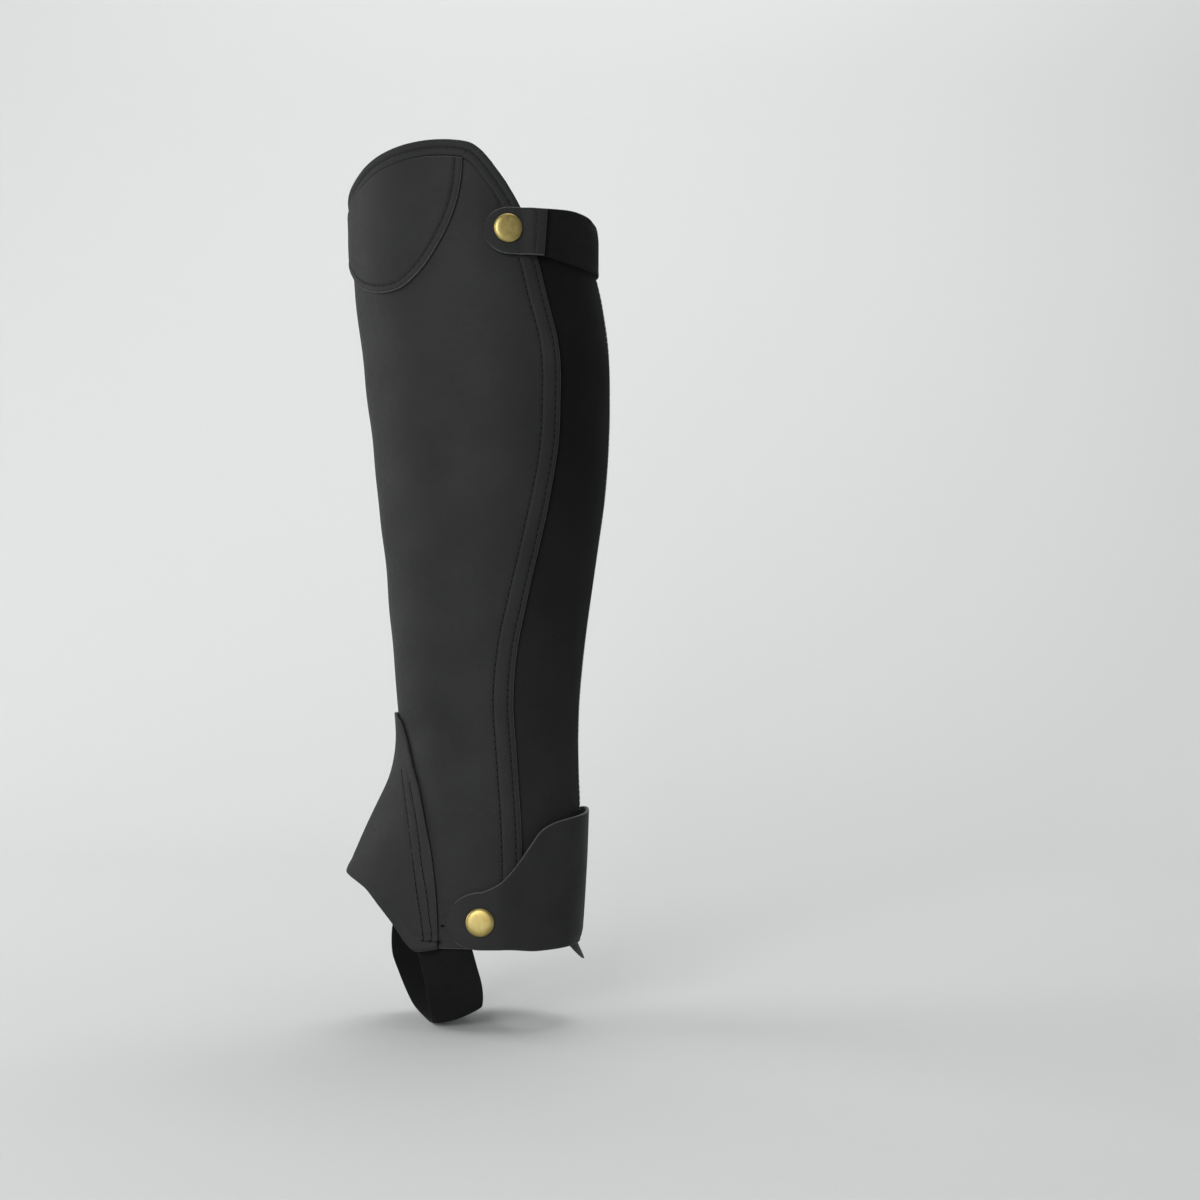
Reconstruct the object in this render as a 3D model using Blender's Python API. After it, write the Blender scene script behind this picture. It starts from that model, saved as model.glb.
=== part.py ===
"""A left half chap: a leather legging worn over the calf and ankle, filled out as if worn.

Every cloth piece is a wall that follows one leg form. A place on the form is an angle, in degrees round
from the shin (0) over the outer side of the leg (90) to the back (180), and a height. Angles below 0
or past 180 lie on the inner side of the leg. A piece is moved out from the form by its layer.
Tables and sizes are in millimetres. The shin faces -X, the outer side of the leg -Y, and +Z is up.
"""

import math
from bisect import bisect_right
from collections import namedtuple

import bmesh
import bpy
from mathutils import Matrix, Vector

for leftover in list(bpy.data.objects):
    bpy.data.objects.remove(leftover)

MM = 0.001
GAP = 0.3  # between pieces that are sewn or pressed together

LEATHER = 2.0
THIN_LEATHER = 1.8  # the instep gusset and the ankle cover
BINDING = 1.2
ELASTIC = 1.6  # the knitted panels and both straps
TAPE = 1.0
CHAIN = 1.6
SLIDER = 0.8
PULL = 0.9

# Layers: how far outside the leg form the inner face of a piece lies.
UNDER_ZIP = -GAP - TAPE
CHAIN_LAYER = UNDER_ZIP + TAPE + GAP
SLIDER_LAYER = CHAIN_LAYER + CHAIN + GAP
PULL_LAYER = SLIDER_LAYER + SLIDER + GAP
LEATHER_LAYER = ELASTIC + GAP
ON_LEATHER = LEATHER_LAYER + LEATHER + GAP
ON_BINDING = ON_LEATHER + BINDING + GAP
TAB_LAYER = ON_BINDING + GAP
SEWN_LAYER = -0.1  # the ends of the stirrup strap, inside the hem

# The leg form, a row for each height. The front half of a section is sharper where nose is under 2.
Section = namedtuple("Section", "height front middle back half_width nose")
LEG = [
    Section(-310, -85.0, 6, 47.0, 38.5, 1.20),
    Section(-291, -80.0, 6, 47.8, 38.5, 1.20),
    Section(-254, -67.7, 6, 49.5, 38.0, 1.20),
    Section(-240, -61.5, 6, 50.0, 38.0, 1.20),
    Section(-218, -51.5, 6, 50.8, 38.0, 1.25),
    Section(-200, -44.0, 6, 50.2, 38.2, 1.35),
    Section(-183, -41.0, 6, 50.0, 38.8, 1.60),
    Section(-162, -42.3, 5, 50.7, 40.0, 1.90),
    Section(-135, -44.4, 5, 53.2, 42.0, 2.00),
    Section(-108, -46.9, 5, 56.7, 44.5, 2.00),
    Section(-81, -49.6, 6, 60.6, 47.5, 2.00),
    Section(-54, -52.3, 6, 64.3, 50.0, 2.00),
    Section(-27, -55.2, 6, 66.4, 51.5, 2.00),
    Section(0, -58.4, 5, 67.0, 52.5, 2.00),
    Section(27, -61.3, 4, 66.2, 52.0, 2.00),
    Section(50, -64.4, 2, 63.0, 51.5, 2.00),
    Section(62, -65.2, 0.5, 60.4, 51.25, 2.00),
    Section(75, -65.9, -1, 56.7, 51.0, 2.00),
    Section(105, -67.2, -3, 49.5, 50.5, 2.00),
    Section(150, -70.0, -4, 46.0, 50.0, 2.00),
]
LEG_COLUMNS = {
    name: [(row.height, getattr(row, name)) for row in LEG] for name in Section._fields
}
HEM = -290.0  # the lower edge of the leather, from the origin at the middle of the calf

# The upper edge, from the inner side over the shin to its peak on the outer side and down to the strap.
Edge = namedtuple("Edge", "angle height")
TOP_LINE = [
    Edge(-115, 90.0),
    Edge(-95, 90.5),
    Edge(-70, 92.5),
    Edge(-45, 96.0),
    Edge(-22, 99.8),
    Edge(0, 104.5),
    Edge(14, 109.5),
    Edge(24, 114.2),
    Edge(35, 120.0),
    Edge(45, 124.2),
    Edge(56, 127.5),
    Edge(66, 129.2),
    Edge(75, 129.7),
    Edge(84, 129.1),
    Edge(90, 127.6),
    Edge(95, 124.6),
    Edge(99.5, 119.8),
    Edge(104, 113.4),
    Edge(108, 107.5),
    Edge(111, 102.2),
    Edge(113, 98.2),
    Edge(115, 94.0),
]
BINDING_WIDTH = 8.6

# The S-shaped seam where the leather ends over the stretch panel, the same on both sides.
Seam = namedtuple("Seam", "height angle")
REAR_SEAM = [
    Seam(-300, 112.0),
    Seam(-243, 110.8),
    Seam(-204, 108.2),
    Seam(-174, 106.0),
    Seam(-150, 106.0),
    Seam(-129, 108.0),
    Seam(-108, 112.0),
    Seam(-78, 117.0),
    Seam(-53, 121.0),
    Seam(-27, 124.4),
    Seam(0, 125.6),
    Seam(16, 125.8),
    Seam(28, 125.0),
    Seam(40, 123.1),
    Seam(51, 121.6),
    Seam(69, 120.4),
    Seam(95, 115.5),
    Seam(140, 108.0),
]
SEAM_LAP = 6.0  # degrees that the leather reaches over the stretch panel
LAP_END = 70.0  # from here up the stretch panel draws back, clear of the binding
LAP_GONE = 80.0

# Where the main panel is cut away under the instep gusset, down to a corner at the hem.
INSTEP_CUT = [
    Edge(0, -184.0),
    Edge(14, -187.0),
    Edge(28, -197.0),
    Edge(40, -210.0),
    Edge(50, -229.0),
    Edge(58, -256.0),
    Edge(65, HEM),
]

# The lower edge of the knee patch, from its point on the inner side to its straight rear edge.
PATCH_EDGE = [
    Edge(-32, 86.4),
    Edge(-18, 81.0),
    Edge(0, 72.4),
    Edge(13, 64.7),
    Edge(23, 58.3),
    Edge(34, 53.9),
    Edge(45, 52.3),
    Edge(54, 54.2),
    Edge(62, 60.0),
    Edge(68.5, 67.2),
    Edge(75, 77.4),
    Edge(80, 87.7),
    Edge(83.5, 98.1),
    Edge(85.5, 108.0),
    Edge(86.5, 117.6),
]

# The instep gusset: its rear seam, and its lower edge from the tip over the instep back to the hem.
GUSSET_SEAM = [
    Seam(-295, 72.5),
    Seam(-281, 71.6),
    Seam(-269, 70.4),
    Seam(-254, 68.0),
    Seam(-241, 64.6),
    Seam(-230, 60.5),
    Seam(-218, 55.0),
    Seam(-206, 47.5),
    Seam(-195, 38.3),
    Seam(-180, 26.5),
    Seam(-172.5, 21.0),
]
GUSSET_LOW = [
    Edge(0, -254.3),
    Edge(14, -256.1),
    Edge(28, -259.4),
    Edge(36, -262.9),
    Edge(45.5, -270.5),
    Edge(53, -278.2),
    Edge(60, -287.6),
    Edge(62.6, -290.6),
    Edge(65, -291.9),
    Edge(73, HEM),
]
GUSSET_TOP = -168.5
GUSSET_ROUNDING = 4.0  # how far its upper end drops from the shin to the seams

# The ankle cover: round end on the outer side, high behind the ankle, sewn down on the inner side.
COVER_TOP = [
    Edge(78, -266.2),
    Edge(82, -262.5),
    Edge(89, -258.6),
    Edge(96.5, -255.0),
    Edge(103.5, -249.2),
    Edge(109, -243.5),
    Edge(115, -236.5),
    Edge(122, -229.3),
    Edge(131, -225.4),
    Edge(143, -223.2),
    Edge(158, -221.5),
    Edge(180, -219.5),
    Edge(205, -223.5),
    Edge(230, -231.0),
    Edge(262, -245.0),
]
COVER_RADIUS = 15.6  # of its round end
COVER_LIFT = 1.7  # how far the snap holds the round end off the leather
LIFT_WHOLE, LIFT_GONE = 94.0, 112.0
ANKLE_SNAP = Edge(86.7, -275.3)

# The top strap, a straight ring shaped like the leg at one height, closer in round the back.
STRAP_LOW, STRAP_HIGH = 67.5, 93.7
STRAP_LEVEL = 75.0
STRAP_START, STRAP_END = 117.0, 258.0
BACK_REST = 1.4  # how much nearer the leg the strap lies at the back
BACK_NEAR, BACK_FAR = 25.0, 50.0  # degrees each side of the back over which it moves in

# The snap tab, which steps up over the end of the strap.
TAB_LOW, TAB_HIGH = 70.3, 93.4
TAB_END, TAB_SEAM = 94.0, 122.5
STEP_START, STEP_END = 110.5, 116.0
KNEE_SNAP = Edge(105.1, 83.1)

# The zip: two tapes with free tails below the hem, the chain, the slider and its pull.
ZIP_HALF_OPENING = 4.0
TAPE_WIDTH = 14.0
Tape = namedtuple("Tape", "name side tail")  # the tail's length below the hem, at the zip
TAPES = [Tape("zip_tape_outer", 1, 8.5), Tape("zip_tape_inner", -1, 9.5)]
TAPE_TOP = 90.5
TAIL_SLANT = 2.5  # how much shorter the tails are at their far edge
TAIL_START = HEM + 7
TAIL_FLARE, TAIL_BEND = 0.55, 4.0  # the slope of the tails, and the length over which they bend out
CHAIN_HALF_WIDTH = 2.8
CHAIN_TOP = 86.5
Side = namedtuple("Side", "across along")
SLIDER_SIDE = [Side(3.2, 74.0), Side(4.2, 77.5), Side(4.2, 81.5), Side(2.6, 83.5)]
LUG_HALF_WIDTH = 1.0
LUG_LOW, LUG_HIGH = 78.8, 82.2
LUG = 0.95
PIVOT_HEIGHT = 80.6
PULL_LENGTH = 12.1  # from the pivot to the tip
PULL_SIDE = [Side(2.9, -1.0), Side(2.9, 4.0), Side(3.2, 9.6), Side(2.2, 11.5), Side(0.8, PULL_LENGTH)]
PULL_SLOT = 2.4  # how far past the pivot the fork is open

# The stirrup strap under the foot, a row for each place along it: its front edge and its rear edge,
# and how far its middle bows down. Between its two sewn ends, which follow the leg form, it hangs free.
Sewn = namedtuple("Sewn", "height front_angle rear_angle")
STIRRUP_START = [Sewn(-272, 64, 81.3), Sewn(-281, 64, 81.3)]
STIRRUP_FINISH = [Sewn(-281, -48, -73), Sewn(-269, -48, -73)]
Crossing = namedtuple("Crossing", "front_x front_y front_z rear_x rear_y rear_z bow")
STIRRUP = [
    Crossing(-32.4, -31.8, -290, -3.6, -37.6, -290, 0),
    Crossing(-30.2, -33.2, -301, -0.8, -37.8, -300, 0),
    Crossing(-27.8, -34.0, -312, 1.4, -36.6, -308.5, 0.4),
    Crossing(-26.2, -31.4, -321.5, 1.9, -34.2, -315.5, 1.0),
    Crossing(-26.0, -25.2, -328.6, 0.6, -28.4, -320.8, 2.0),
    Crossing(-27.0, -13.5, -332.0, -3.0, -14.0, -324.4, 2.2),
    Crossing(-31.4, 1.0, -332.4, -7.0, 1.0, -325.8, 1.6),
    Crossing(-38.4, 13.0, -328.4, -11.0, 14.0, -323.6, 1.0),
    Crossing(-43.6, 22.0, -321.8, -13.6, 24.0, -319, 0.4),
    Crossing(-48.2, 26.6, -312.4, -16.0, 31.5, -312, 0),
    Crossing(-51.4, 27.0, -303, -19.0, 34.6, -302, 0),
    Crossing(-51.6, 26.0, -291, -21.0, 35.0, -291, 0),
]

# The press snaps, turned profiles from the base up. The stud's heights are shares of its own.
Turn = namedtuple("Turn", "radius height")
CAP = [
    Turn(7.0, 0),
    Turn(7.5, 0.4),
    Turn(7.5, 0.9),
    Turn(7.0, 1.35),
    Turn(5.4, 1.75),
    Turn(2.7, 2.0),
    Turn(0.8, 2.05),
]
STUD = [Turn(5.0, 0), Turn(5.0, 0.6), Turn(4.0, 1.0)]
WASHER = [Turn(4.4, 0), Turn(5.0, 0.4), Turn(5.0, 0.9)]
WASHER_LAYER = GAP
ROUND_STEPS = 24

Finish = namedtuple("Finish", "colour roughness metallic")
FINISHES = {
    "leather": Finish((0.036, 0.036, 0.038), 0.55, 0.0),
    "stretch": Finish((0.012, 0.012, 0.012), 0.85, 0.0),
    "elastic": Finish((0.011, 0.011, 0.011), 0.80, 0.0),
    "zip": Finish((0.020, 0.020, 0.022), 0.60, 0.0),
    "zip_metal": Finish((0.060, 0.058, 0.055), 0.40, 1.0),
    "brass": Finish((0.330, 0.240, 0.080), 0.35, 1.0),
}


def between(table, at):
    """The second column of a table at a place between its rows, on a smooth curve through them."""
    places = [row[0] for row in table]
    values = [row[1] for row in table]
    last = len(table) - 1
    at = min(max(at, places[0]), places[last])
    i = min(bisect_right(places, at) - 1, last - 1)

    def slope(k):
        low, high = max(k - 1, 0), min(k + 1, last)
        return (values[high] - values[low]) / (places[high] - places[low])

    step = places[i + 1] - places[i]
    t = (at - places[i]) / step
    return (
        (1 + 2 * t) * (1 - t) ** 2 * values[i]
        + t * (1 - t) ** 2 * step * slope(i)
        + t * t * (3 - 2 * t) * values[i + 1]
        + t * t * (t - 1) * step * slope(i + 1)
    )


def rise(at, low, high):
    """0 up to low, 1 from high on, and a smooth step between them."""
    t = min(max((at - low) / (high - low), 0), 1)
    return t * t * (3 - 2 * t)


def spread(low, high, count):
    """Evenly spaced values from low to high, count steps apart."""
    return [low + (high - low) * i / count for i in range(count + 1)]


def section_point(angle, height):
    """The point of the bare leg form at an angle and a height, as X and Y."""
    size = {name: between(column, height) for name, column in LEG_COLUMNS.items()}
    fore, aside = math.cos(math.radians(angle)), math.sin(math.radians(angle))
    if fore > 0:
        depth = size["middle"] - size["front"]
        width = math.copysign(abs(aside) ** (2 / size["nose"]), aside)
    else:
        depth = size["back"] - size["middle"]
        width = aside
    return Vector((size["middle"] - depth * fore, -size["half_width"] * width))


def outward(angle, height):
    """The direction straight out of the leg form, level, as X and Y."""
    along = section_point(angle + 0.1, height) - section_point(angle - 0.1, height)
    return Vector((along.y, -along.x)).normalized()


def on_leg(angle, height, layer):
    """A point that lies outside the leg form by its layer."""
    point = section_point(angle, height) + outward(angle, height) * layer
    return Vector((point.x, point.y, height)) * MM


def degree_length(angle, height):
    """How many millimetres one degree is, round the leg form."""
    return (section_point(angle + 0.5, height) - section_point(angle - 0.5, height)).length


def behind(across, height):
    """The angle of a point that lies across the middle line of the back by a distance."""
    return 180 - math.degrees(math.asin(across / between(LEG_COLUMNS["half_width"], height)))


def finish(name):
    """The plain material of that name."""
    material = bpy.data.materials.get(name)
    if material is None:
        material = bpy.data.materials.new(name)
        material.use_nodes = True
        look = FINISHES[name]
        shader = material.node_tree.nodes["Principled BSDF"]
        shader.inputs["Base Color"].default_value = (*look.colour, 1)
        shader.inputs["Roughness"].default_value = look.roughness
        shader.inputs["Metallic"].default_value = look.metallic
    return material


def make(name, shape, look):
    """One object from a bmesh, with its faces pointing out."""
    bmesh.ops.recalc_face_normals(shape, faces=shape.faces)
    mesh = bpy.data.meshes.new(name)
    shape.to_mesh(mesh)
    shape.free()
    mesh.shade_smooth()
    mesh.set_sharp_from_angle(angle=math.radians(40))
    mesh.materials.append(finish(look))
    piece = bpy.data.objects.new(name, mesh)
    bpy.context.scene.collection.objects.link(piece)
    return piece


def wall(name, look, rows, place, inner, outer):
    """A cloth wall from rows of (angle, height) points, thick from one layer to another."""
    shape = bmesh.new()
    under = [[shape.verts.new(place(*spot, inner)) for spot in row] for row in rows]
    over = [[shape.verts.new(place(*spot, outer)) for spot in row] for row in rows]
    last_row, last = len(rows) - 1, len(rows[0]) - 1
    for i in range(last_row):
        for j in range(last):
            corners = ((i, j), (i, j + 1), (i + 1, j + 1), (i + 1, j))
            for side in (under, over):
                shape.faces.new([side[k][n] for k, n in corners])
    border = [(0, j) for j in range(last)] + [(i, last) for i in range(last_row)]
    border += [(last_row, j) for j in range(last, 0, -1)]
    border += [(i, 0) for i in range(last_row, 0, -1)]
    for (i, j), (k, n) in zip(border, border[1:] + border[:1]):
        shape.faces.new((under[i][j], under[k][n], over[k][n], over[i][j]))
    return make(name, shape, look)


def plate(name, look, outline, place, inner, outer):
    """A flat plate from one outline of (across, along) points, thick from one layer to another."""
    shape = bmesh.new()
    under = [shape.verts.new(place(*spot, inner)) for spot in outline]
    over = [shape.verts.new(place(*spot, outer)) for spot in outline]
    shape.faces.new(under)
    shape.faces.new(over)
    for i in range(len(outline)):
        k = (i + 1) % len(outline)
        shape.faces.new((under[i], under[k], over[k], over[i]))
    return make(name, shape, look)


def fill(columns, rows, side_at, low_at, high_at):
    """Rows of (angle, height) points between two edges; rows holds each one's share of the way up.

    The angle of a column depends on its height and the other way round, so each point is settled
    step by step.
    """
    settling, pace = 24, 0.7
    grid = []
    for v in rows:
        line = []
        for u in columns:
            height = 0.0
            for _ in range(settling):
                angle = side_at(u, height)
                wanted = low_at(angle) + v * (high_at(angle) - low_at(angle))
                height += pace * (wanted - height)
            line.append((side_at(u, height), height))
        grid.append(line)
    return grid


def crowded(low, count):
    """Shares from low (0 or -1) up to 1, closer together toward both ends of the half circle."""
    return [math.sin(math.pi / 2 * u) for u in spread(low, 1, count)]


def mirrored(grid):
    """The same points on the other side of the leg."""
    return [[(-angle, height) for angle, height in row] for row in grid]


def top_edge(distance):
    """The upper edge moved down and square to itself, as (angle, height) points."""
    first, last = TOP_LINE[0].angle, TOP_LINE[-1].angle
    line = [(angle, between(TOP_LINE, angle)) for angle in spread(first, last, 56)]
    moved = []
    for i, (angle, height) in enumerate(line):
        before, after = line[max(i - 1, 0)], line[min(i + 1, len(line) - 1)]
        scale = degree_length(angle, height)
        run, along = (after[0] - before[0]) * scale, after[1] - before[1]
        size = math.hypot(run, along)
        moved.append((angle + distance * along / size / scale, height - distance * run / size))
    return moved


def level(line, angle):
    """The height of a line of (angle, height) points at an angle, on straight runs between them."""
    for (a, low), (b, high) in zip(line, line[1:]):
        if angle <= b:
            return low + (high - low) * max((angle - a) / (b - a), 0)
    return line[-1][1]


def main_panel():
    """The leather front and sides, from one rear seam round to the other."""
    upper = top_edge(BINDING + 3 * GAP)
    corner = INSTEP_CUT[-1].angle / between(REAR_SEAM, HEM)
    half = spread(0, corner, 12) + spread(corner, 1, 6)[1:]
    crowding = 1.4  # of the rows, toward the flared hem
    grid = fill(
        [-u for u in reversed(half[1:])] + half,
        [v**crowding for v in spread(0, 1, 26)],
        lambda u, height: u * between(REAR_SEAM, height),
        lambda angle: between(INSTEP_CUT, abs(angle)),
        lambda angle: level(upper, angle),
    )
    wall("main_panel", "leather", grid, on_leg, LEATHER_LAYER, LEATHER_LAYER + LEATHER)


def knee_patch():
    """The second leather layer over the shin below the knee."""
    upper = top_edge(BINDING_WIDTH + GAP)
    first, last = PATCH_EDGE[0].angle, PATCH_EDGE[-1].angle
    grid = fill(
        crowded(0, 20),
        spread(0, 1, 6),
        lambda u, _: first + (last - first) * u,
        lambda angle: between(PATCH_EDGE, angle),
        lambda angle: level(upper, angle),
    )
    wall("knee_patch", "leather", grid, on_leg, ON_LEATHER, ON_LEATHER + LEATHER)


def top_binding():
    """The strip folded over the upper edge of the main panel, a U in section."""
    outer, inner = ON_LEATHER + BINDING, LEATHER_LAYER - GAP - BINDING
    turn = BINDING / 2
    profile = [
        (BINDING_WIDTH, outer),
        (turn, outer),
        (0, outer - turn),
        (0, inner + turn),
        (turn, inner),
        (BINDING_WIDTH, inner),
        (BINDING_WIDTH, inner + BINDING),
        (BINDING, inner + BINDING),
        (BINDING, ON_LEATHER),
        (BINDING_WIDTH, ON_LEATHER),
    ]
    lines = {depth: top_edge(depth)[1:-1] for depth, _ in profile}
    shape = bmesh.new()
    rings = [
        [shape.verts.new(on_leg(*lines[depth][i], layer)) for depth, layer in profile]
        for i in range(len(lines[0]))
    ]
    for ring, following in zip(rings, rings[1:]):
        for j in range(len(profile)):
            k = (j + 1) % len(profile)
            shape.faces.new((ring[j], ring[k], following[k], following[j]))
    for ring in (rings[0], rings[-1]):
        shape.faces.new(ring)
    make("top_binding", shape, "leather")


def stretch_panels():
    """The two knitted panels, from under the leather to the zip."""
    grid = []
    for height in spread(TAIL_START, STRAP_HIGH - 3, 26):
        lap = SEAM_LAP - (SEAM_LAP + 1) * rise(height, LAP_END, LAP_GONE)
        front, rear = between(REAR_SEAM, height) - lap, behind(ZIP_HALF_OPENING, height)
        grid.append([(angle, height) for angle in spread(front, rear, 7)])
    wall("stretch_panel_outer", "stretch", grid, on_leg, 0, ELASTIC)
    wall("stretch_panel_inner", "stretch", mirrored(grid), on_leg, 0, ELASTIC)


def on_tape(across, height, layer):
    """A point on the zip tape, whose free ends below the hem flare away from the leg."""
    below = max(TAIL_START - height, 0)
    flare = TAIL_FLARE * below * below / (below + TAIL_BEND)
    return on_leg(behind(across, height), height, layer + flare)


def zip_tapes():
    """The two woven tapes of the zip, with their free tails below the hem."""
    widths = spread(GAP / 2, TAPE_WIDTH, 2)
    for tape in TAPES:
        low = HEM - tape.tail
        grid = []
        for height in spread(low, TAIL_START, 6) + spread(TAIL_START, TAPE_TOP, 24)[1:]:
            slant = TAIL_SLANT * max(TAIL_START - height, 0) / (TAIL_START - low)
            row = [(tape.side * across, height + slant * across / TAPE_WIDTH) for across in widths]
            grid.append(row)
        wall(tape.name, "zip", grid, on_tape, UNDER_ZIP, UNDER_ZIP + TAPE)


def zip_chain():
    """The closed teeth as one strip; the separate teeth are finer than this model."""
    across = spread(-CHAIN_HALF_WIDTH, CHAIN_HALF_WIDTH, 2)
    grid = [[(distance, height) for distance in across] for height in spread(TAIL_START, CHAIN_TOP, 26)]
    wall("zip_chain", "zip_metal", grid, on_tape, CHAIN_LAYER, CHAIN_LAYER + CHAIN)


def both_sides(side):
    """A closed outline from the half of it that lies on the right, bottom to top."""
    return list(side) + [(-across, along) for across, along in reversed(side)]


def zip_slider():
    """The slider at the top of its run under the strap, with the lug that carries the pull."""
    face = SLIDER_LAYER + SLIDER
    slider = plate("zip_slider", "zip_metal", both_sides(SLIDER_SIDE), on_tape, SLIDER_LAYER, face)
    lug_side = [(LUG_HALF_WIDTH, LUG_LOW), (LUG_HALF_WIDTH, LUG_HIGH)]
    lug = plate("lug", "zip_metal", both_sides(lug_side), on_tape, face - GAP, face + LUG)
    union = slider.modifiers.new("lug", "BOOLEAN")
    union.operation = "UNION"
    union.object = lug
    lug.hide_render = True
    lug.display_type = "WIRE"


def zip_pull():
    """The pull tab, folded up behind the strap, a fork about the slider's lug."""
    pivot = on_leg(180, PIVOT_HEIGHT, PULL_LAYER + PULL / 2)
    tip = on_leg(180, PIVOT_HEIGHT + PULL_LENGTH, PULL_LAYER + PULL / 2)
    up = (tip - pivot).normalized()
    out = up.cross(Vector((0, -1, 0)))
    slot = LUG_HALF_WIDTH + GAP
    outline = [(slot, PULL_SLOT), (slot, PULL_SIDE[0].along)] + PULL_SIDE
    pull = plate(
        "zip_pull",
        "zip_metal",
        both_sides(outline),
        lambda across, along, layer: Vector((across, along, layer)) * MM,
        -PULL / 2,
        PULL / 2,
    )
    turn = Matrix((Vector((0, 1, 0)), up, out)).transposed().to_4x4()
    pull.matrix_world = Matrix.Translation(pivot) @ turn


def on_band(angle, height, layer):
    """A point on the straight ring that the top strap follows, closer in round the back."""
    near = 1 - rise(abs(180 - angle), BACK_NEAR, BACK_FAR)
    point = on_leg(angle, STRAP_LEVEL, layer - BACK_REST * near)
    return Vector((point.x, point.y, height * MM))


def top_strap():
    """The elastic strap that closes the top, from under the snap tab round to the inner side."""
    grid = [
        [(angle, height) for angle in spread(STRAP_START, STRAP_END, 34)]
        for height in spread(STRAP_LOW, STRAP_HIGH, 2)
    ]
    wall("top_strap", "elastic", grid, on_band, ON_BINDING, ON_BINDING + ELASTIC)


def rounded_end(start, radius, middle, scale, steps):
    """Columns of a round end, each an angle with the lower and upper height of the piece there."""
    columns = []
    blunt = 14  # degrees of turn left off the very end, so that it is a short edge and not a point
    for turn in spread(math.radians(blunt), math.pi / 2, steps):
        angle = start + radius * (1 - math.cos(turn)) / scale
        half = radius * math.sin(turn)
        columns.append((angle, middle - half, middle + half))
    return columns


def rows_of(columns, count):
    """Rows of (angle, height) points across columns of (angle, low, high)."""
    return [[(a, low + v * (high - low)) for a, low, high in columns] for v in spread(0, 1, count)]


def on_tab(angle, height, layer):
    """A point on the snap tab, which steps up over the end of the strap."""
    return on_band(angle, height, layer + (ELASTIC + GAP) * rise(angle, STEP_START, STEP_END))


def snap_tab():
    """The leather tab with a round end, which carries the upper snap."""
    middle, half = (TAB_LOW + TAB_HIGH) / 2, (TAB_HIGH - TAB_LOW) / 2
    scale = degree_length(KNEE_SNAP.angle, STRAP_LEVEL)
    columns = rounded_end(TAB_END, half, middle, scale, 7)
    columns += [(a, TAB_LOW, TAB_HIGH) for a in spread(columns[-1][0], TAB_SEAM, 9)[1:]]
    wall("snap_tab", "leather", rows_of(columns, 3), on_tab, TAB_LAYER, TAB_LAYER + LEATHER)


def on_cover(angle, height, layer):
    """A point on the ankle cover, whose round end is held off by the snap beneath it."""
    return on_leg(angle, height, layer + COVER_LIFT * (1 - rise(angle, LIFT_WHOLE, LIFT_GONE)))


def ankle_cover():
    """The leather cover that wraps the ankle from behind and snaps on the outer side."""
    scale = degree_length(ANKLE_SNAP.angle, ANKLE_SNAP.height)
    start = ANKLE_SNAP.angle - COVER_RADIUS / scale
    columns = rounded_end(start, COVER_RADIUS, ANKLE_SNAP.height, scale, 7)[:-1]
    columns += [
        (a, HEM, between(COVER_TOP, a)) for a in spread(ANKLE_SNAP.angle, COVER_TOP[-1].angle, 34)
    ]
    wall("ankle_cover", "leather", rows_of(columns, 4), on_cover, ON_LEATHER, ON_LEATHER + THIN_LEATHER)


def instep_gusset():
    """The leather piece that flares over the instep, laid over the main panel's cut."""
    side = GUSSET_SEAM[-1].angle
    grid = fill(
        crowded(-1, 28),
        spread(0, 1, 20),
        lambda u, height: u * between(GUSSET_SEAM, height),
        lambda angle: between(GUSSET_LOW, abs(angle)),
        lambda angle: GUSSET_TOP - GUSSET_ROUNDING * (angle / side) ** 2,
    )
    wall("instep_gusset", "leather", grid, on_leg, ON_LEATHER, ON_LEATHER + THIN_LEATHER)


def sewn_row(end, across):
    """A row of points across a sewn end of the stirrup strap."""
    return [on_leg(a, end.height, SEWN_LAYER) for a in spread(end.front_angle, end.rear_angle, across)]


def stirrup_strap():
    """The elastic strap under the foot, sewn inside the hem on both sides."""
    across = 4
    rows = [sewn_row(end, across) for end in STIRRUP_START]
    for place in STIRRUP:
        front = Vector((place.front_x, place.front_y, place.front_z)) * MM
        rear = Vector((place.rear_x, place.rear_y, place.rear_z)) * MM
        bow = Vector((0, 0, -4 * place.bow)) * MM
        rows.append([front.lerp(rear, v) + bow * v * (1 - v) for v in spread(0, 1, across)])
    rows += [sewn_row(end, across) for end in STIRRUP_FINISH]
    shape = bmesh.new()
    inside = [[shape.verts.new(point) for point in row] for row in rows]
    for row, following in zip(inside, inside[1:]):
        for j in range(across):
            shape.faces.new((row[j], row[j + 1], following[j + 1], following[j]))
    strap = make("stirrup_strap", shape, "elastic")
    thick = strap.modifiers.new("thickness", "SOLIDIFY")
    thick.thickness = ELASTIC * MM
    thick.offset = 1


def turned(name, profile, spot, place, layer, height=1.0):
    """A round brass piece from a profile, square to the leg at a spot, its heights scaled."""
    shape = bmesh.new()
    rings = []
    for point in profile:
        ring = []
        for turn in spread(0, math.tau, ROUND_STEPS)[:-1]:
            x, y = point.radius * math.cos(turn), point.radius * math.sin(turn)
            ring.append(shape.verts.new(Vector((x, y, point.height * height)) * MM))
        rings.append(ring)
    for ring, following in zip(rings, rings[1:]):
        for i in range(ROUND_STEPS):
            k = (i + 1) % ROUND_STEPS
            shape.faces.new((ring[i], ring[k], following[k], following[i]))
    for ring in (rings[0], rings[-1]):
        shape.faces.new(ring)
    piece = make(name, shape, "brass")
    out = outward(spot.angle, spot.height).to_3d()
    turn = out.to_track_quat("Z", "Y").to_matrix().to_4x4()
    piece.matrix_world = Matrix.Translation(place(*spot, layer)) @ turn


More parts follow.
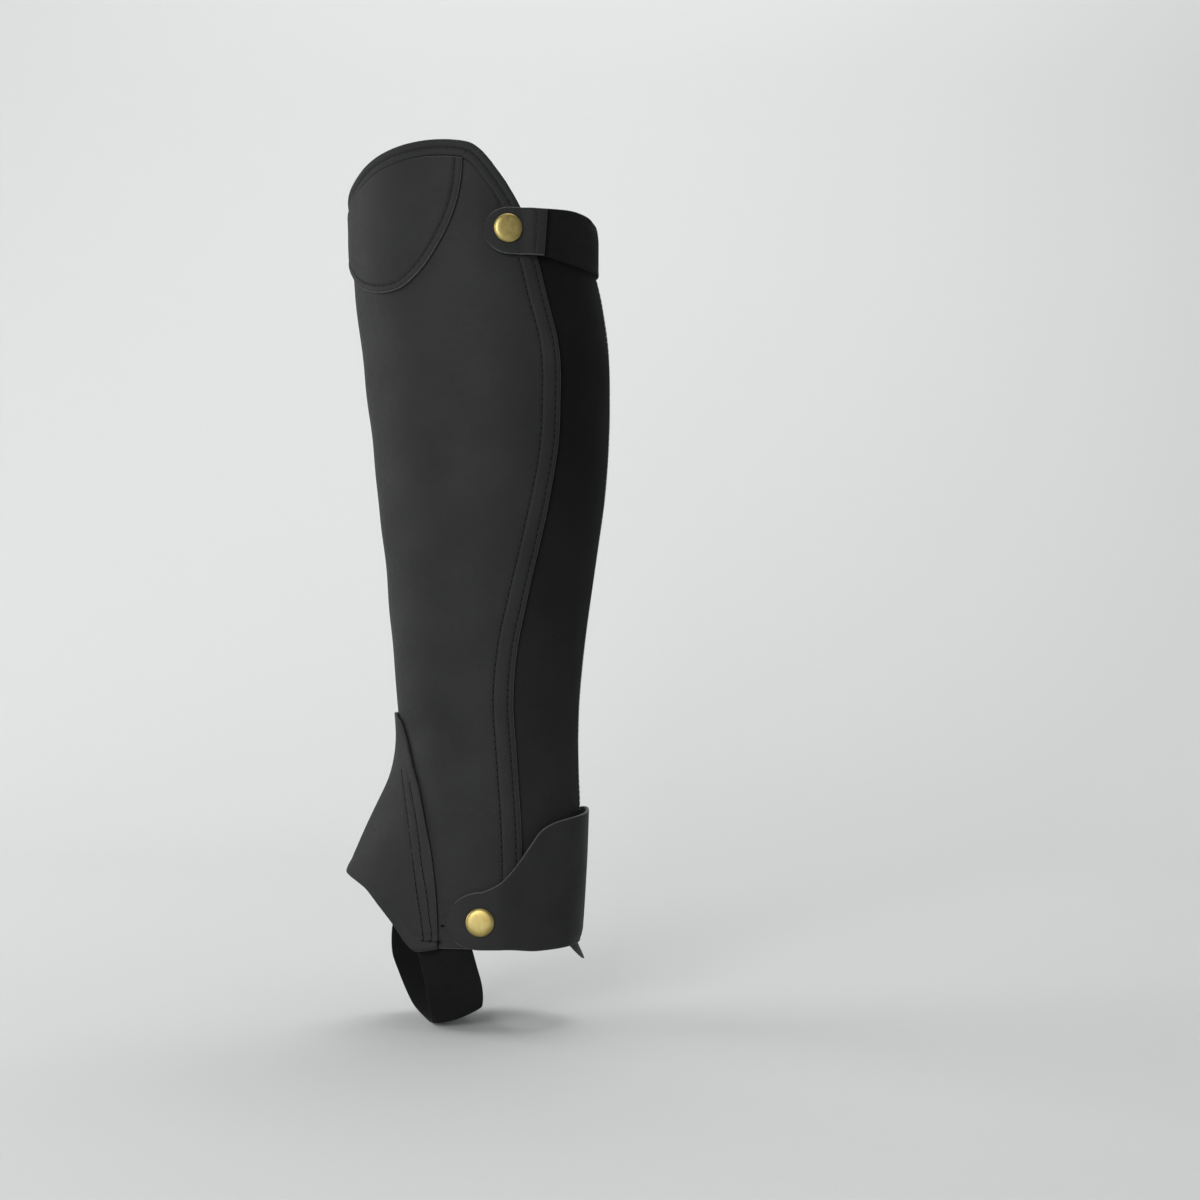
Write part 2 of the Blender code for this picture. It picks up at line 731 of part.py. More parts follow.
def snap(name, spot, place, back, thickness):
    """A press snap: the domed cap outside, the stud between the layers, the washer inside."""
    turned(name + "_cap", CAP, spot, place, back + thickness + GAP)
    room = (place(*spot, back) - on_leg(*spot, ON_LEATHER)).length / MM
    turned(name + "_stud", STUD, spot, on_leg, ON_LEATHER, room - 2 * GAP)
    turned(name + "_washer", WASHER, spot, on_leg, WASHER_LAYER)


main_panel()
knee_patch()
top_binding()
stretch_panels()
zip_tapes()
zip_chain()
zip_slider()
zip_pull()
top_strap()
snap_tab()
ankle_cover()
instep_gusset()
stirrup_strap()
snap("knee_snap", KNEE_SNAP, on_tab, TAB_LAYER, LEATHER)
snap("ankle_snap", ANKLE_SNAP, on_cover, ON_LEATHER, THIN_LEATHER)
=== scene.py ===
"""A left half chap in black leather, standing filled out as if it were on the leg.

Sizes are in millimetres. +Z is up, -X is the shin and -Y the outer side of the leg. An angle runs
round the leg from the shin: 90 is the outer side, 180 the back and -90 the inner side. A layer is
a distance out from the bare leg form.
"""

import math

import bpy
import numpy as np
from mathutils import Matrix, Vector


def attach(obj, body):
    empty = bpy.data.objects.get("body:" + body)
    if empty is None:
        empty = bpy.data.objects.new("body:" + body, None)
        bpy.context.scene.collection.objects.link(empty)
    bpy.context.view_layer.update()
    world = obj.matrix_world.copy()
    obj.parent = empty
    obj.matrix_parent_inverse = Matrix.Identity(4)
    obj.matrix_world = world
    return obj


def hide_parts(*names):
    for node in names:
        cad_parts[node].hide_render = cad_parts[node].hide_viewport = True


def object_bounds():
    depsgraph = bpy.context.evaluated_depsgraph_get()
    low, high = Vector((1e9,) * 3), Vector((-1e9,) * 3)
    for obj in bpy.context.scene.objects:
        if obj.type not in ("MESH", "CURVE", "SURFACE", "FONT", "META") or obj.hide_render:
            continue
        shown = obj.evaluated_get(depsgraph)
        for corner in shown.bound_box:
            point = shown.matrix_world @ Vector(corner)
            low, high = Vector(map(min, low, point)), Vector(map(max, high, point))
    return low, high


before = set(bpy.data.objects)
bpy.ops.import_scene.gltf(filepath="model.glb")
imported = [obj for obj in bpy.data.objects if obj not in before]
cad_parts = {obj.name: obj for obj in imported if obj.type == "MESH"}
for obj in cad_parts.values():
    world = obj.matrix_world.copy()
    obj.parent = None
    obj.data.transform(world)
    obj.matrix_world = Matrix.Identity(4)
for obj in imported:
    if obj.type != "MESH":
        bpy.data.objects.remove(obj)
cad_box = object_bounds()

# The camera stands a good metre off the outer side, level with the shin, with a short portrait
# lens. It looks straight along the leg's cross line, so uprights stay upright.
lens = bpy.data.cameras.new("camera")
lens.lens = 65
lens.sensor_width = 36
camera = bpy.data.objects.new("camera", lens)
camera.location = (0.0632, -1.170, -0.108)
camera.rotation_euler = (math.radians(90), 0, 0)
bpy.context.scene.collection.objects.link(camera)
bpy.context.scene.camera = camera

# The studio is a sheet of pale paper, swept up behind the chap in one curve. The lights are large
# and soft, and most of the light comes from the left, so the shin side is brighter than the back.
floor_level = cad_box[0].z - 0.0007
sweep_start, sweep_radius, sweep_top, sweep_half_width = 0.7, 0.9, 3.2, 3.4
sweep_turn = np.radians(np.linspace(0, 90, 25))
sweep = [(-2.6, floor_level)]
for turn in sweep_turn:
    out, up = sweep_radius * math.sin(turn), sweep_radius * (1 - math.cos(turn))
    sweep.append((sweep_start + out, floor_level + up))
sweep.append((sweep_start + sweep_radius, sweep_top))
paper_points = [(x, y, z) for y, z in sweep for x in (-sweep_half_width, sweep_half_width)]
paper_faces = [(2 * i, 2 * i + 1, 2 * i + 3, 2 * i + 2) for i in range(len(sweep) - 1)]
paper_mesh = bpy.data.meshes.new("paper")
paper_mesh.from_pydata(paper_points, [], paper_faces)
paper_mesh.shade_smooth()
paper = bpy.data.objects.new("paper", paper_mesh)
bpy.context.scene.collection.objects.link(paper)
paper_finish = bpy.data.materials.new("pale_paper")
paper_finish.use_nodes = True
paper_shader = paper_finish.node_tree.nodes["Principled BSDF"]
paper_shader.inputs["Base Color"].default_value = (0.628, 0.640, 0.636, 1)
paper_shader.inputs["Roughness"].default_value = 0.9
paper_mesh.materials.append(paper_finish)


def soft_light(name, place, aim, size, power):
    """A square panel of white light of a size in metres, aimed at a point."""
    panel = bpy.data.lights.new(name, "AREA")
    panel.size = size
    panel.energy = power
    lamp = bpy.data.objects.new(name, panel)
    lamp.location = place
    lamp.rotation_euler = (Vector(aim) - Vector(place)).to_track_quat("-Z", "Y").to_euler()
    bpy.context.scene.collection.objects.link(lamp)


soft_light("window_left", (-1.7, 0.3, 0.4), (0, 0, -0.1), 1.3, 18)
soft_light("panel_front", (-0.75, -2.3, 0.45), (0, 0, -0.1), 1.3, 46)
soft_light("panel_above", (0, 0.1, 1.9), (0, 0.2, 0), 1.6, 10)
soft_light("panel_behind", (0.3, 0.8, 1.7), (0.8, 1.5, 0.2), 1.2, 14)
air = bpy.data.worlds.new("air")
air.use_nodes = True
air.node_tree.nodes["Background"].inputs["Color"].default_value = (0.80, 0.81, 0.82, 1)
air.node_tree.nodes["Background"].inputs["Strength"].default_value = 0.28
bpy.context.scene.world = air
bpy.context.scene.view_settings.view_transform = "Standard"

# The leather front: one hide panel round the shin and both sides, 2 mm thick, with an S-curved
# rear edge on each side. It is lapped over the stretch panels and sewn with two rows of thread,
# which leave a slightly raised strip between them.
LEG = {
    "height": [-310, -291, -254, -240, -218, -200, -183, -162, -135, -108, -81, -54, -27, 0, 27, 50, 62,
               75, 105, 150],
    "front": [-85, -80, -67.7, -61.5, -51.5, -44, -41, -42.3, -44.4, -46.9, -49.6, -52.3, -55.2, -58.4,
              -61.3, -64.4, -65.2, -65.9, -67.2, -70],
    "middle": [6, 6, 6, 6, 6, 6, 6, 5, 5, 5, 6, 6, 6, 5, 4, 2, 0.5, -1, -3, -4],
    "back": [47, 47.8, 49.5, 50, 50.8, 50.2, 50, 50.7, 53.2, 56.7, 60.6, 64.3, 66.4, 67, 66.2, 63, 60.4,
             56.7, 49.5, 46],
    "half_width": [38.5, 38.5, 38, 38, 38, 38.2, 38.8, 40, 42, 44.5, 47.5, 50, 51.5, 52.5, 52, 51.5, 51.25,
                   51, 50.5, 50],
    "nose": [1.2, 1.2, 1.2, 1.2, 1.25, 1.35, 1.6, 1.9, 2, 2, 2, 2, 2, 2, 2, 2, 2, 2, 2, 2],
}
HEM = -290.0
GAP = 0.3
LEATHER, THIN_LEATHER, BINDING, ELASTIC, TAPE = 2.0, 1.8, 1.2, 1.6, 1.0
PANEL_LAYER, ON_PANEL, ON_BINDING = 1.9, 4.2, 5.7
REAR_SEAM = [
    (-300, 112.0), (-243, 110.8), (-204, 108.2), (-174, 106.0), (-150, 106.0), (-129, 108.0),
    (-108, 112.0), (-78, 117.0), (-53, 121.0), (-27, 124.4), (0, 125.6), (16, 125.8), (28, 125.0),
    (40, 123.1), (51, 121.6), (69, 120.4), (95, 115.5), (140, 108.0),
]  # height, angle
TOP_LINE = [
    (-115, 90.0), (-95, 90.5), (-70, 92.5), (-45, 96.0), (-22, 99.8), (0, 104.5), (14, 109.5),
    (24, 114.2), (35, 120.0), (45, 124.2), (56, 127.5), (66, 129.2), (75, 129.7), (84, 129.1),
    (90, 127.7), (95, 124.6), (99.5, 120.0), (104, 114.2), (108, 108.7), (111, 103.7), (113, 100.0),
    (115, 95.6), (116.5, 92.0),
]  # angle, height
INSTEP_CUT = [(0, -184), (14, -187), (28, -197), (40, -210), (50, -229), (58, -256), (65, HEM)]
SOFT_CREASES = [
    (50, -176, 26, 0.10, 0.45, 7), (82, -190, 22, -0.16, 0.40, 6), (99, -166, 14, 0.22, 0.35, 6),
    (70, -214, 16, 0.20, 0.35, 6), (94, -224, 14, -0.10, 0.35, 5), (60, 24, 34, 0.12, 0.25, 13),
    (96, 52, 16, -0.30, 0.30, 8), (30, -88, 34, -0.14, 0.30, 14), (92, -62, 20, 0.24, 0.25, 11),
    (-46, -180, 24, -0.14, 0.45, 7), (-76, -194, 24, 0.12, 0.45, 6), (-98, -172, 14, -0.24, 0.35, 6),
    (-66, -220, 18, -0.16, 0.40, 6), (-92, -232, 14, 0.20, 0.30, 5), (-58, 12, 32, -0.10, 0.30, 13),
    (-100, 40, 18, 0.26, 0.30, 8), (-34, -96, 30, 0.16, 0.30, 14), (-90, -50, 24, -0.20, 0.25, 11),
    (142, -128, 22, 0.10, 0.40, 8), (160, 36, 24, -0.12, 0.35, 9), (-150, -120, 22, -0.10, 0.40, 8),
    (-158, 30, 26, 0.14, 0.35, 9), (150, -30, 26, 0.06, 0.30, 12), (-148, -36, 26, -0.08, 0.30, 12),
]  # angle, height, reach in degrees, tilt, depth, width


def between(places, values, at):
    """Values at some places, on a smooth curve through the known ones."""
    places, values = np.asarray(places, float), np.asarray(values, float)
    last = len(places) - 1
    at = np.clip(at, places[0], places[last])
    i = np.clip(np.searchsorted(places, at, side="right") - 1, 0, last - 1)
    before = np.maximum(np.arange(last + 1) - 1, 0)
    after = np.minimum(np.arange(last + 1) + 1, last)
    slope = (values[after] - values[before]) / (places[after] - places[before])
    step = places[i + 1] - places[i]
    t = (at - places[i]) / step
    low = (1 + 2 * t) * (1 - t) ** 2 * values[i] + t * (1 - t) ** 2 * step * slope[i]
    high = t * t * (3 - 2 * t) * values[i + 1] + t * t * (t - 1) * step * slope[i + 1]
    return low + high


def on_line(line, at):
    """The second column of a line's points at some places of the first."""
    places, values = zip(*line)
    return between(places, values, at)


def rise(at, low, high):
    """0 up to low, 1 from high on, and a smooth step between them."""
    t = np.clip((np.asarray(at, float) - low) / (high - low), 0, 1)
    return t * t * (3 - 2 * t)


def leg_section(angle, height):
    """The bare leg form's outline as X and Y."""
    size = {name: between(LEG["height"], column, height) for name, column in LEG.items()}
    fore, aside = np.cos(np.radians(angle)), np.sin(np.radians(angle))
    front = fore > 0
    depth = np.where(front, size["middle"] - size["front"], size["back"] - size["middle"])
    rounded = np.sign(aside) * np.abs(aside) ** (2 / size["nose"])
    width = np.where(front, rounded, aside)
    return np.stack([size["middle"] - depth * fore, -size["half_width"] * width], -1)


def outward(angle, height):
    """The level direction straight out of the leg form."""
    along = leg_section(angle + 0.1, height) - leg_section(angle - 0.1, height)
    out = np.stack([along[..., 1], -along[..., 0]], -1)
    return out / np.linalg.norm(out, axis=-1, keepdims=True)


def straight_out(angle, height):
    """The same direction with its zero Z."""
    level = outward(angle, height)
    return np.concatenate([level, np.zeros(level.shape[:-1] + (1,))], -1)


def on_leg(angle, height, layer):
    """Points outside the leg form by a layer."""
    angle, height, layer = np.broadcast_arrays(*(np.asarray(v, float) for v in (angle, height, layer)))
    level = leg_section(angle, height) + outward(angle, height) * layer[..., None]
    return np.concatenate([level, height[..., None]], -1)


def degree_length(angle, height):
    """How many millimetres one degree is."""
    return np.linalg.norm(leg_section(angle + 0.5, height) - leg_section(angle - 0.5, height), axis=-1)


def hand_wrinkle(angle, height):
    """How far the worn hide stands in or out of its even form: long soft waves and a few creases."""
    wave = 0.16 * np.sin(height / 9.7 + angle / 15.5 + 0.7)
    wave += 0.12 * np.sin(height / 5.9 - angle / 8.4 + 2.1)
    wave += 0.10 * np.sin(height / 15.3 + angle / 6.1 + 4.4)
    for middle, level, reach, tilt, depth, width in SOFT_CREASES:
        across = (height - level - tilt * (angle - middle)) / width
        wave = wave - depth * np.exp(-(across**2)) * np.exp(-(((angle - middle) / reach) ** 2))
    under_strap = rise(height, 50, 64) * rise(np.abs(angle), 82, 96)
    return wave * (0.25 + 0.75 * rise(height, -272, -240)) * (1 - under_strap)


def on_chap(angle, height, layer):
    """Points on the chap: the leg form with the hide's soft unevenness."""
    return on_leg(angle, height, layer + hand_wrinkle(angle, height))


def trough(distance, middle, width):
    """1 in the middle of a trough, falling off softly to 0."""
    return np.exp(-(((distance - middle) / width) ** 2))


def moved_line(line, distance, count):
    """A line of angles and heights, moved square to itself and down where it runs round the leg."""
    first, last = line[0][0], line[-1][0]
    angle = np.linspace(first, last, count)
    height = on_line(line, angle)
    scale = degree_length(angle, height)
    run, climb = np.gradient(angle) * scale, np.gradient(height)
    size = np.hypot(run, climb)
    flat = np.stack([np.cumsum(run), height], -1)
    moved = flat + distance * np.stack([climb, -run], -1) / size[:, None]
    nearest = np.linalg.norm(moved[:, None] - flat, axis=-1).min(1)
    clear = np.flatnonzero(nearest > abs(distance) - 0.05)  # the rest would loop inside a tight bend
    angle, height = angle + distance * climb / size / scale, height - distance * run / size
    order = np.arange(count)
    return np.interp(order, clear, angle[clear]), np.interp(order, clear, height[clear])


def fill(across, up, side_at, low_at, high_at):
    """Angles and heights of a grid between two side lines, a lower and an upper edge."""
    u, v = np.meshgrid(across, up)
    height = np.zeros_like(u)
    for _ in range(40):
        angle = side_at(u, height)
        height += 0.6 * (low_at(angle) + v * (high_at(angle) - low_at(angle)) - height)
    return side_at(u, height), height


def make_piece(name, points, faces, finishes, cut=None, marked=()):
    """One object of points in millimetres; marked faces take the second finish."""
    mesh = bpy.data.meshes.new(name)
    mesh.from_pydata((np.asarray(points) * 0.001).tolist(), [], faces)
    for material in finishes:
        mesh.materials.append(material)
    if len(marked):
        index = np.zeros(len(faces), np.int32)
        index[np.asarray(marked)] = 1
        mesh.polygons.foreach_set("material_index", index)
    if cut is not None:
        on_cut = mesh.attributes.new("cut", "FLOAT_VECTOR", "POINT")
        on_cut.data.foreach_set("vector", np.asarray(cut, np.float32).ravel())
    mesh.shade_smooth()
    piece = bpy.data.objects.new(name, mesh)
    bpy.context.scene.collection.objects.link(piece)
    return piece


def sewn_sheet(name, under, over, finishes, cut=None, edge=0.4, edge_steps=5):
    """A sheet piece between two grids of points, with its cut edges slightly rounded."""
    rows, columns = over.shape[:2]
    border = [(0, j) for j in range(columns)] + [(i, columns - 1) for i in range(1, rows)]
    border += [(rows - 1, j) for j in range(columns - 2, -1, -1)]
    border += [(i, 0) for i in range(rows - 2, 0, -1)]
    i, j = np.array(border).T
    inner_i, inner_j = np.clip(i, 1, rows - 2), np.clip(j, 1, columns - 2)
    over, under = over.copy(), under.copy()
    out = over[i, j] - over[inner_i, inner_j] + under[i, j] - under[inner_i, inner_j]
    out /= np.maximum(np.linalg.norm(out, axis=-1, keepdims=True), 1e-9)
    over[i, j] -= out * edge
    under[i, j] -= out * edge
    rings = []
    for turn in np.linspace(0, math.pi, edge_steps + 2)[1:-1]:
        share = (1 - math.cos(turn)) / 2
        rings.append(over[i, j] * (1 - share) + under[i, j] * share + out * edge * math.sin(turn) ** 0.7)
    points = np.concatenate([over.reshape(-1, 3), under.reshape(-1, 3), *rings])
    a = np.arange(rows * columns).reshape(rows, columns)
    quads = np.stack([a[:-1, :-1], a[:-1, 1:], a[1:, 1:], a[1:, :-1]], -1).reshape(-1, 4)
    around = len(border)
    b = rows * columns
    edges = [a[i, j]] + [2 * b + k * around + np.arange(around) for k in range(len(rings))] + [b + a[i, j]]
    walls = []
    for near, far in zip(edges, edges[1:]):
        walls.append(np.stack([near, far, np.roll(far, -1), np.roll(near, -1)], -1))
    walls = np.concatenate(walls)
    faces = np.concatenate([quads, quads[:, ::-1] + b, walls])
    middle = over[rows // 2, columns // 2]
    way = np.cross(over[rows // 2, columns // 2 + 1] - middle, over[rows // 2 + 1, columns // 2] - middle)
    if way @ (middle - under[rows // 2, columns // 2]) < 0:
        faces = faces[:, ::-1]
    if cut is not None:
        cut = np.concatenate([cut[0][..., None], cut[1][..., None], np.zeros(cut[0].shape + (1,))], -1)
        flat = cut.reshape(-1, 3)
        cut = np.concatenate([flat, flat] + [cut[i, j]] * len(rings))
    marked = np.arange(2 * len(quads), len(faces)) if len(finishes) > 1 else ()
    return make_piece(name, points, faces.tolist(), finishes, cut, marked)


def new_finish(name, colour, roughness, metallic=0.0, specular=0.5, sheen=0.0):
    """A material with its plain shader settings."""
    material = bpy.data.materials.new(name)
    material.use_nodes = True
    shader = material.node_tree.nodes["Principled BSDF"]
    shader.inputs["Base Color"].default_value = (*colour, 1)
    shader.inputs["Roughness"].default_value = roughness
    shader.inputs["Metallic"].default_value = metallic
    shader.inputs["Specular IOR Level"].default_value = specular
    shader.inputs["Sheen Weight"].default_value = sheen
    return material


def put(material, kind, links, **choices):
    """One more shader node; links give its sockets a value or the socket that feeds it."""
    node = material.node_tree.nodes.new("ShaderNode" + kind)
    for name, value in choices.items():
        setattr(node, name, value)
    for name, value in links.items():
        if isinstance(value, bpy.types.NodeSocket):
            material.node_tree.links.new(value, node.inputs[name])
        else:
            node.inputs[name].default_value = value
    return node


def feed(material, socket, source):
    """Joins a source to a socket of the material's shader."""
    shader = material.node_tree.nodes["Principled BSDF"]
    material.node_tree.links.new(source, shader.inputs[socket])


def place_in(material):
    """The place on the piece, for a texture."""
    return put(material, "TexCoord", {}).outputs["Object"]


def cut_of(material):
    """The place along and across the cloth as it was cut, in millimetres."""
    return put(material, "Attribute", {}, attribute_name="cut").outputs["Vector"]


def noise(material, place, scale, detail, roughness=0.5):
    """Soft random spots, the same at every run."""
    links = {"Vector": place, "Scale": scale, "Detail": detail, "Roughness": roughness}
    return put(material, "TexNoise", links).outputs["Fac"]


def bumps(material, source, strength, distance, under=None, invert=False):
    """Small bumps from a texture's values, on top of other bumps if there are any."""
    links = {"Height": source, "Strength": strength, "Distance": distance}
    if under is not None:
        links["Normal"] = under
    return put(material, "Bump", links, invert=invert).outputs["Normal"]


def shades(material, source, stops):
    """Colours spread over a texture's values, as pairs of a value and a colour."""
    ramp = put(material, "ValToRGB", {"Fac": source})
    while len(ramp.color_ramp.elements) < len(stops):
        ramp.color_ramp.elements.new(0.5)
    for element, (place, colour) in zip(ramp.color_ramp.elements, stops):
        element.position = place
        element.color = (*colour, 1)
    return ramp.outputs["Color"]


def greys(material, source, low, high):
    """A texture's values from 0 to 1 brought to between two others."""
    return put(material, "MapRange", {"Value": source, "To Min": low, "To Max": high}).outputs["Result"]


def hide_finish(name, dark, light, roughness, grain):
    """Dyed and finished cowhide: fine pebbles with pores between them, and slow changes of tone."""
    material = new_finish(name, light, roughness, specular=0.08)
    place = place_in(material)
    slow = noise(material, place, 28.0, 4.0, 0.55)
    feed(material, "Base Color", shades(material, slow, [(0.3, dark), (0.7, light)]))
    fine = noise(material, place, 320.0, 3.0)
    feed(material, "Roughness", greys(material, fine, roughness - 0.09, roughness + 0.09))
    bent = put(material, "TexNoise", {"Vector": place, "Scale": 500.0, "Detail": 1.0}).outputs["Color"]
    wander = put(material, "MixRGB", {"Fac": 0.0012, "Color1": place, "Color2": bent}).outputs["Color"]
    pebble = put(material, "TexVoronoi", {"Vector": wander, "Scale": 1150.0}, feature="SMOOTH_F1")
    large = put(material, "TexVoronoi", {"Vector": wander, "Scale": 520.0}, feature="SMOOTH_F1")
    soft = bumps(material, slow, 0.20, 0.0012)
    wide = bumps(material, large.outputs["Distance"], grain * 0.6, 0.00030, soft, True)
    feed(material, "Normal", bumps(material, pebble.outputs["Distance"], grain, 0.00018, wide, True))
    return material


leather = hide_finish("black_hide", (0.0190, 0.0191, 0.0198), (0.0240, 0.0241, 0.0249), 0.58, 0.35)


def edge_finish(name, dark, light):
    """The fibres of a cut hide edge, rubbed smooth."""
    material = new_finish(name, light, 0.6)
    fibre = noise(material, place_in(material), 900.0, 3.0)
    feed(material, "Base Color", shades(material, fibre, [(0.3, dark), (0.7, light)]))
    feed(material, "Normal", bumps(material, fibre, 0.4, 0.0003))
    return material


# The cut edges are lighter than the hide. This is partly the raw edge's own tone and partly a painted
# highlight of the rounded edge catching the light.
cut_edge = edge_finish("cut_edge_tone_and_highlight", (0.036, 0.036, 0.037), (0.070, 0.070, 0.071))
# The darker edge finish is painted shadow: it darkens the gusset's cut edges so they read as the shadow line
# along its rear edges.
painted_shadow_edge = edge_finish("painted_shadow_edge", (0.008, 0.008, 0.0082), (0.016, 0.016, 0.0165))

ROW_NEAR, ROW_FAR = 3.0, 10.0  # the two stitch rows, from the rear edge
SEAM_ZONE = 16.0
SEAM_STEPS = [0, 0.6, 1.3, 2.0, 2.5, 3.0, 3.5, 4.1, 5.0, 6.5, 8.0, 8.9, 9.5, 10.0, 10.5, 11.1, 12, 13.2, 14.6]


def seam_angle(height, distance):
    """The angle at a distance before the rear edge."""
    edge = on_line(REAR_SEAM, height)
    return edge - distance / degree_length(edge, height)


def panel_side(u, height):
    """The angle of a panel column: even over the front up to 1, then by distance from the edge."""
    size = np.abs(u)
    front = size * seam_angle(height, SEAM_ZONE)
    near = seam_angle(height, SEAM_ZONE * (2 - size))
    return np.sign(u) * np.where(size <= 1, front, near)


def panel_relief(angle, height):
    """How the two rows of thread draw the hide in, and the strip between them stands up."""
    edge = on_line(REAR_SEAM, height)
    distance = (edge - np.abs(angle)) * degree_length(edge, height)
    rows = trough(distance, ROW_NEAR, 0.8) + trough(distance, ROW_FAR, 0.8)
    strip = rise(distance, ROW_NEAR, 4.6) * (1 - rise(distance, 8.4, ROW_FAR))
    return 0.24 * strip - 0.26 * rows - 0.45 * (1 - rise(distance, 0, 2.4))


def panel_face(angle, height):
    """Points on the outside of the leather front."""
    return on_chap(angle, height, PANEL_LAYER + LEATHER + panel_relief(angle, height))


under_binding = moved_line(TOP_LINE, BINDING + 3 * GAP, 400)
corner = INSTEP_CUT[-1][0] / float(seam_angle(HEM, SEAM_ZONE))
half = np.concatenate([np.linspace(0, corner, 20)[:-1], np.linspace(corner, 1, 18)[:-1]])
half = np.concatenate([half, [2 - step / SEAM_ZONE for step in [SEAM_ZONE] + SEAM_STEPS[::-1]]])
panel_angle, panel_height = fill(
    np.concatenate([-half[:0:-1], half]),
    np.linspace(0, 1, 200) ** 1.1,
    panel_side,
    lambda angle: on_line(INSTEP_CUT, np.abs(angle)),
    lambda angle: np.interp(angle, *under_binding),
)
leather_front = sewn_sheet(
    "leather_front",
    on_chap(panel_angle, panel_height, PANEL_LAYER),
    panel_face(panel_angle, panel_height),
    [leather, cut_edge],
    edge=0.45,
)
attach(leather_front, "chap")
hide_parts("main_panel")

# The thread is waxed black polyester, sewn by machine through punched holes 3.7 mm apart. Each
# stitch lies sunk in its row, and each hole is a flat black disc of painted shade between the stitches.
PITCH = 3.7
thread = new_finish("waxed_thread", (0.0095, 0.0095, 0.010), 0.6, specular=0.16)
thread_twist = noise(thread, place_in(thread), 2600.0, 1.0)
feed(thread, "Normal", bumps(thread, thread_twist, 0.5, 0.0001))
needle_hole_shade = new_finish("needle_hole_shade", (0.002, 0.002, 0.002), 0.9, specular=0.1)


def between_rings(first, rings, around, turned=False):
    """Faces between rings of points that follow each other, from a first point on."""
    faces = []
    for a in range(first, first + (rings - 1) * around):
        b = a + 1 if (a + 1 - first) % around else a + 1 - around
        faces.append((a, a + around, b + around, b) if turned else (a, b, b + around, a + around))
    return faces


STITCH_START, STITCH_END = 0.14, 0.86  # shares of the pitch
STITCH_RINGS = [(0, -0.30, 0.7), (0.16, 0.02, 0.95), (0.5, 0.10, 1), (0.84, 0.02, 0.95), (1, -0.30, 0.7)]
STITCH_SIDES, HOLE_SIDES = 6, 8


def stitch_row(name, lines, pitch=PITCH, radius=0.34, hole=0.80):
    """Stitches along lines of points, each line with the directions that point out of the piece."""
    points, faces, dark = [], [], []
    for line, out in lines:
        line, out = np.asarray(line, float), np.asarray(out, float)
        runs = np.concatenate([[0], np.cumsum(np.linalg.norm(np.diff(line, axis=0), axis=1))])
        count = max(int(round(runs[-1] / pitch)), 1)
        step = runs[-1] / count

        def spot(at):
            return np.array([np.interp(at, runs, line[:, k]) for k in range(3)])

        def up_at(at):
            up = np.array([np.interp(at, runs, out[:, k]) for k in range(3)])
            return up / np.linalg.norm(up)

        for n in range(count):
            start, end = (n + STITCH_START) * step, (n + STITCH_END) * step
            along = spot(end) - spot(start)
            along /= np.linalg.norm(along)
            first = len(points)
            for share, lift, size in STITCH_RINGS:  # along it, out of the piece, against its radius
                at = start + share * (end - start)
                up = up_at(at)
                aside = np.cross(along, up)
                centre = spot(at) + up * lift
                for k in range(STITCH_SIDES):
                    turn = k * math.tau / STITCH_SIDES
                    points.append(centre + (aside * math.cos(turn) + up * math.sin(turn)) * radius * size)
            faces += between_rings(first, len(STITCH_RINGS), STITCH_SIDES)
        # Each needle hole is a small black disc: painted shade of the hole.
        for n in range(count + 1):
            at = min(max(n * step, 0.01), runs[-1] - 0.01)
            ahead = spot(min(at + 0.3, runs[-1])) - spot(max(at - 0.3, 0))
            ahead /= np.linalg.norm(ahead)
            up = up_at(at)
            aside = np.cross(ahead, up)
            first = len(points)
            points.append(spot(at) + up * 0.13)
            for k in range(HOLE_SIDES):
                turn = k * math.tau / HOLE_SIDES
                reach = (ahead * math.cos(turn) + aside * math.sin(turn) * 0.75) * hole
                points.append(spot(at) + reach + up * 0.03)
            for k in range(HOLE_SIDES):
                dark.append(len(faces))
                faces.append((first, first + 1 + k, first + 1 + (k + 1) % HOLE_SIDES))
    row = make_piece(name, points, faces, [thread, needle_hole_shade], None, dark)
    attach(row, "chap")
    return row


def rows_on(face, angle, height):
    """A stitch line on a face of the chap, from its angles and heights."""
    angle, height = np.broadcast_arrays(np.asarray(angle, float), np.asarray(height, float))
    return face(angle, height), straight_out(angle, height)


SIDES = (("outer", 1), ("inner", -1))
for side, sign in SIDES:
    seam_height = np.linspace(HEM + 1.5, 68, 400)
    lines = []
    for distance in (ROW_NEAR, ROW_FAR):
        lines.append(rows_on(panel_face, sign * seam_angle(seam_height, distance), seam_height))
    stitch_row("rear_stitches_" + side, lines)

# The knee patch: a second layer of the same hide over the shin below the knee, rounded at its
# lower edge, with one stitch row 3.7 mm inside the edge that pulls a groove into it.
PATCH_EDGE = [
    (-32, 86.4), (-18, 81.0), (0, 72.4), (13, 64.7), (23, 58.3), (34, 53.9), (45, 52.3), (54, 54.2),
    (62, 60.0), (68.5, 67.2), (75, 77.4), (80, 87.7), (83.5, 98.1), (85.5, 108.0), (86.5, 117.6),
    (86.9, 123.0),
]
BINDING_WIDTH = 8.6
PATCH_ROW = 3.7
PATCH_STEPS = np.array([0, 0.6, 1.3, 2.1, 2.8, 3.3, 3.7, 4.1, 4.6, 5.3, 6.2, 7.5, 9.5, 13])
PATCH_SIDE = 32.0  # how far the patch's side runs back along the binding
CORNER_REACH = 24.0  # over how much of its edge the grid turns into the rear corner
patch_columns, line_points = 190, 900


def evenly(angle, height, count):
    """A line's points, spread evenly along it, with its length."""
    scale = degree_length(angle, height)
    steps = np.hypot(np.diff(angle) * (scale[1:] + scale[:-1]) / 2, np.diff(height))
    runs = np.concatenate([[0], np.cumsum(steps)])
    even = np.linspace(0, runs[-1], count)
    return np.stack([np.interp(even, runs, angle), np.interp(even, runs, height)], -1), runs[-1]


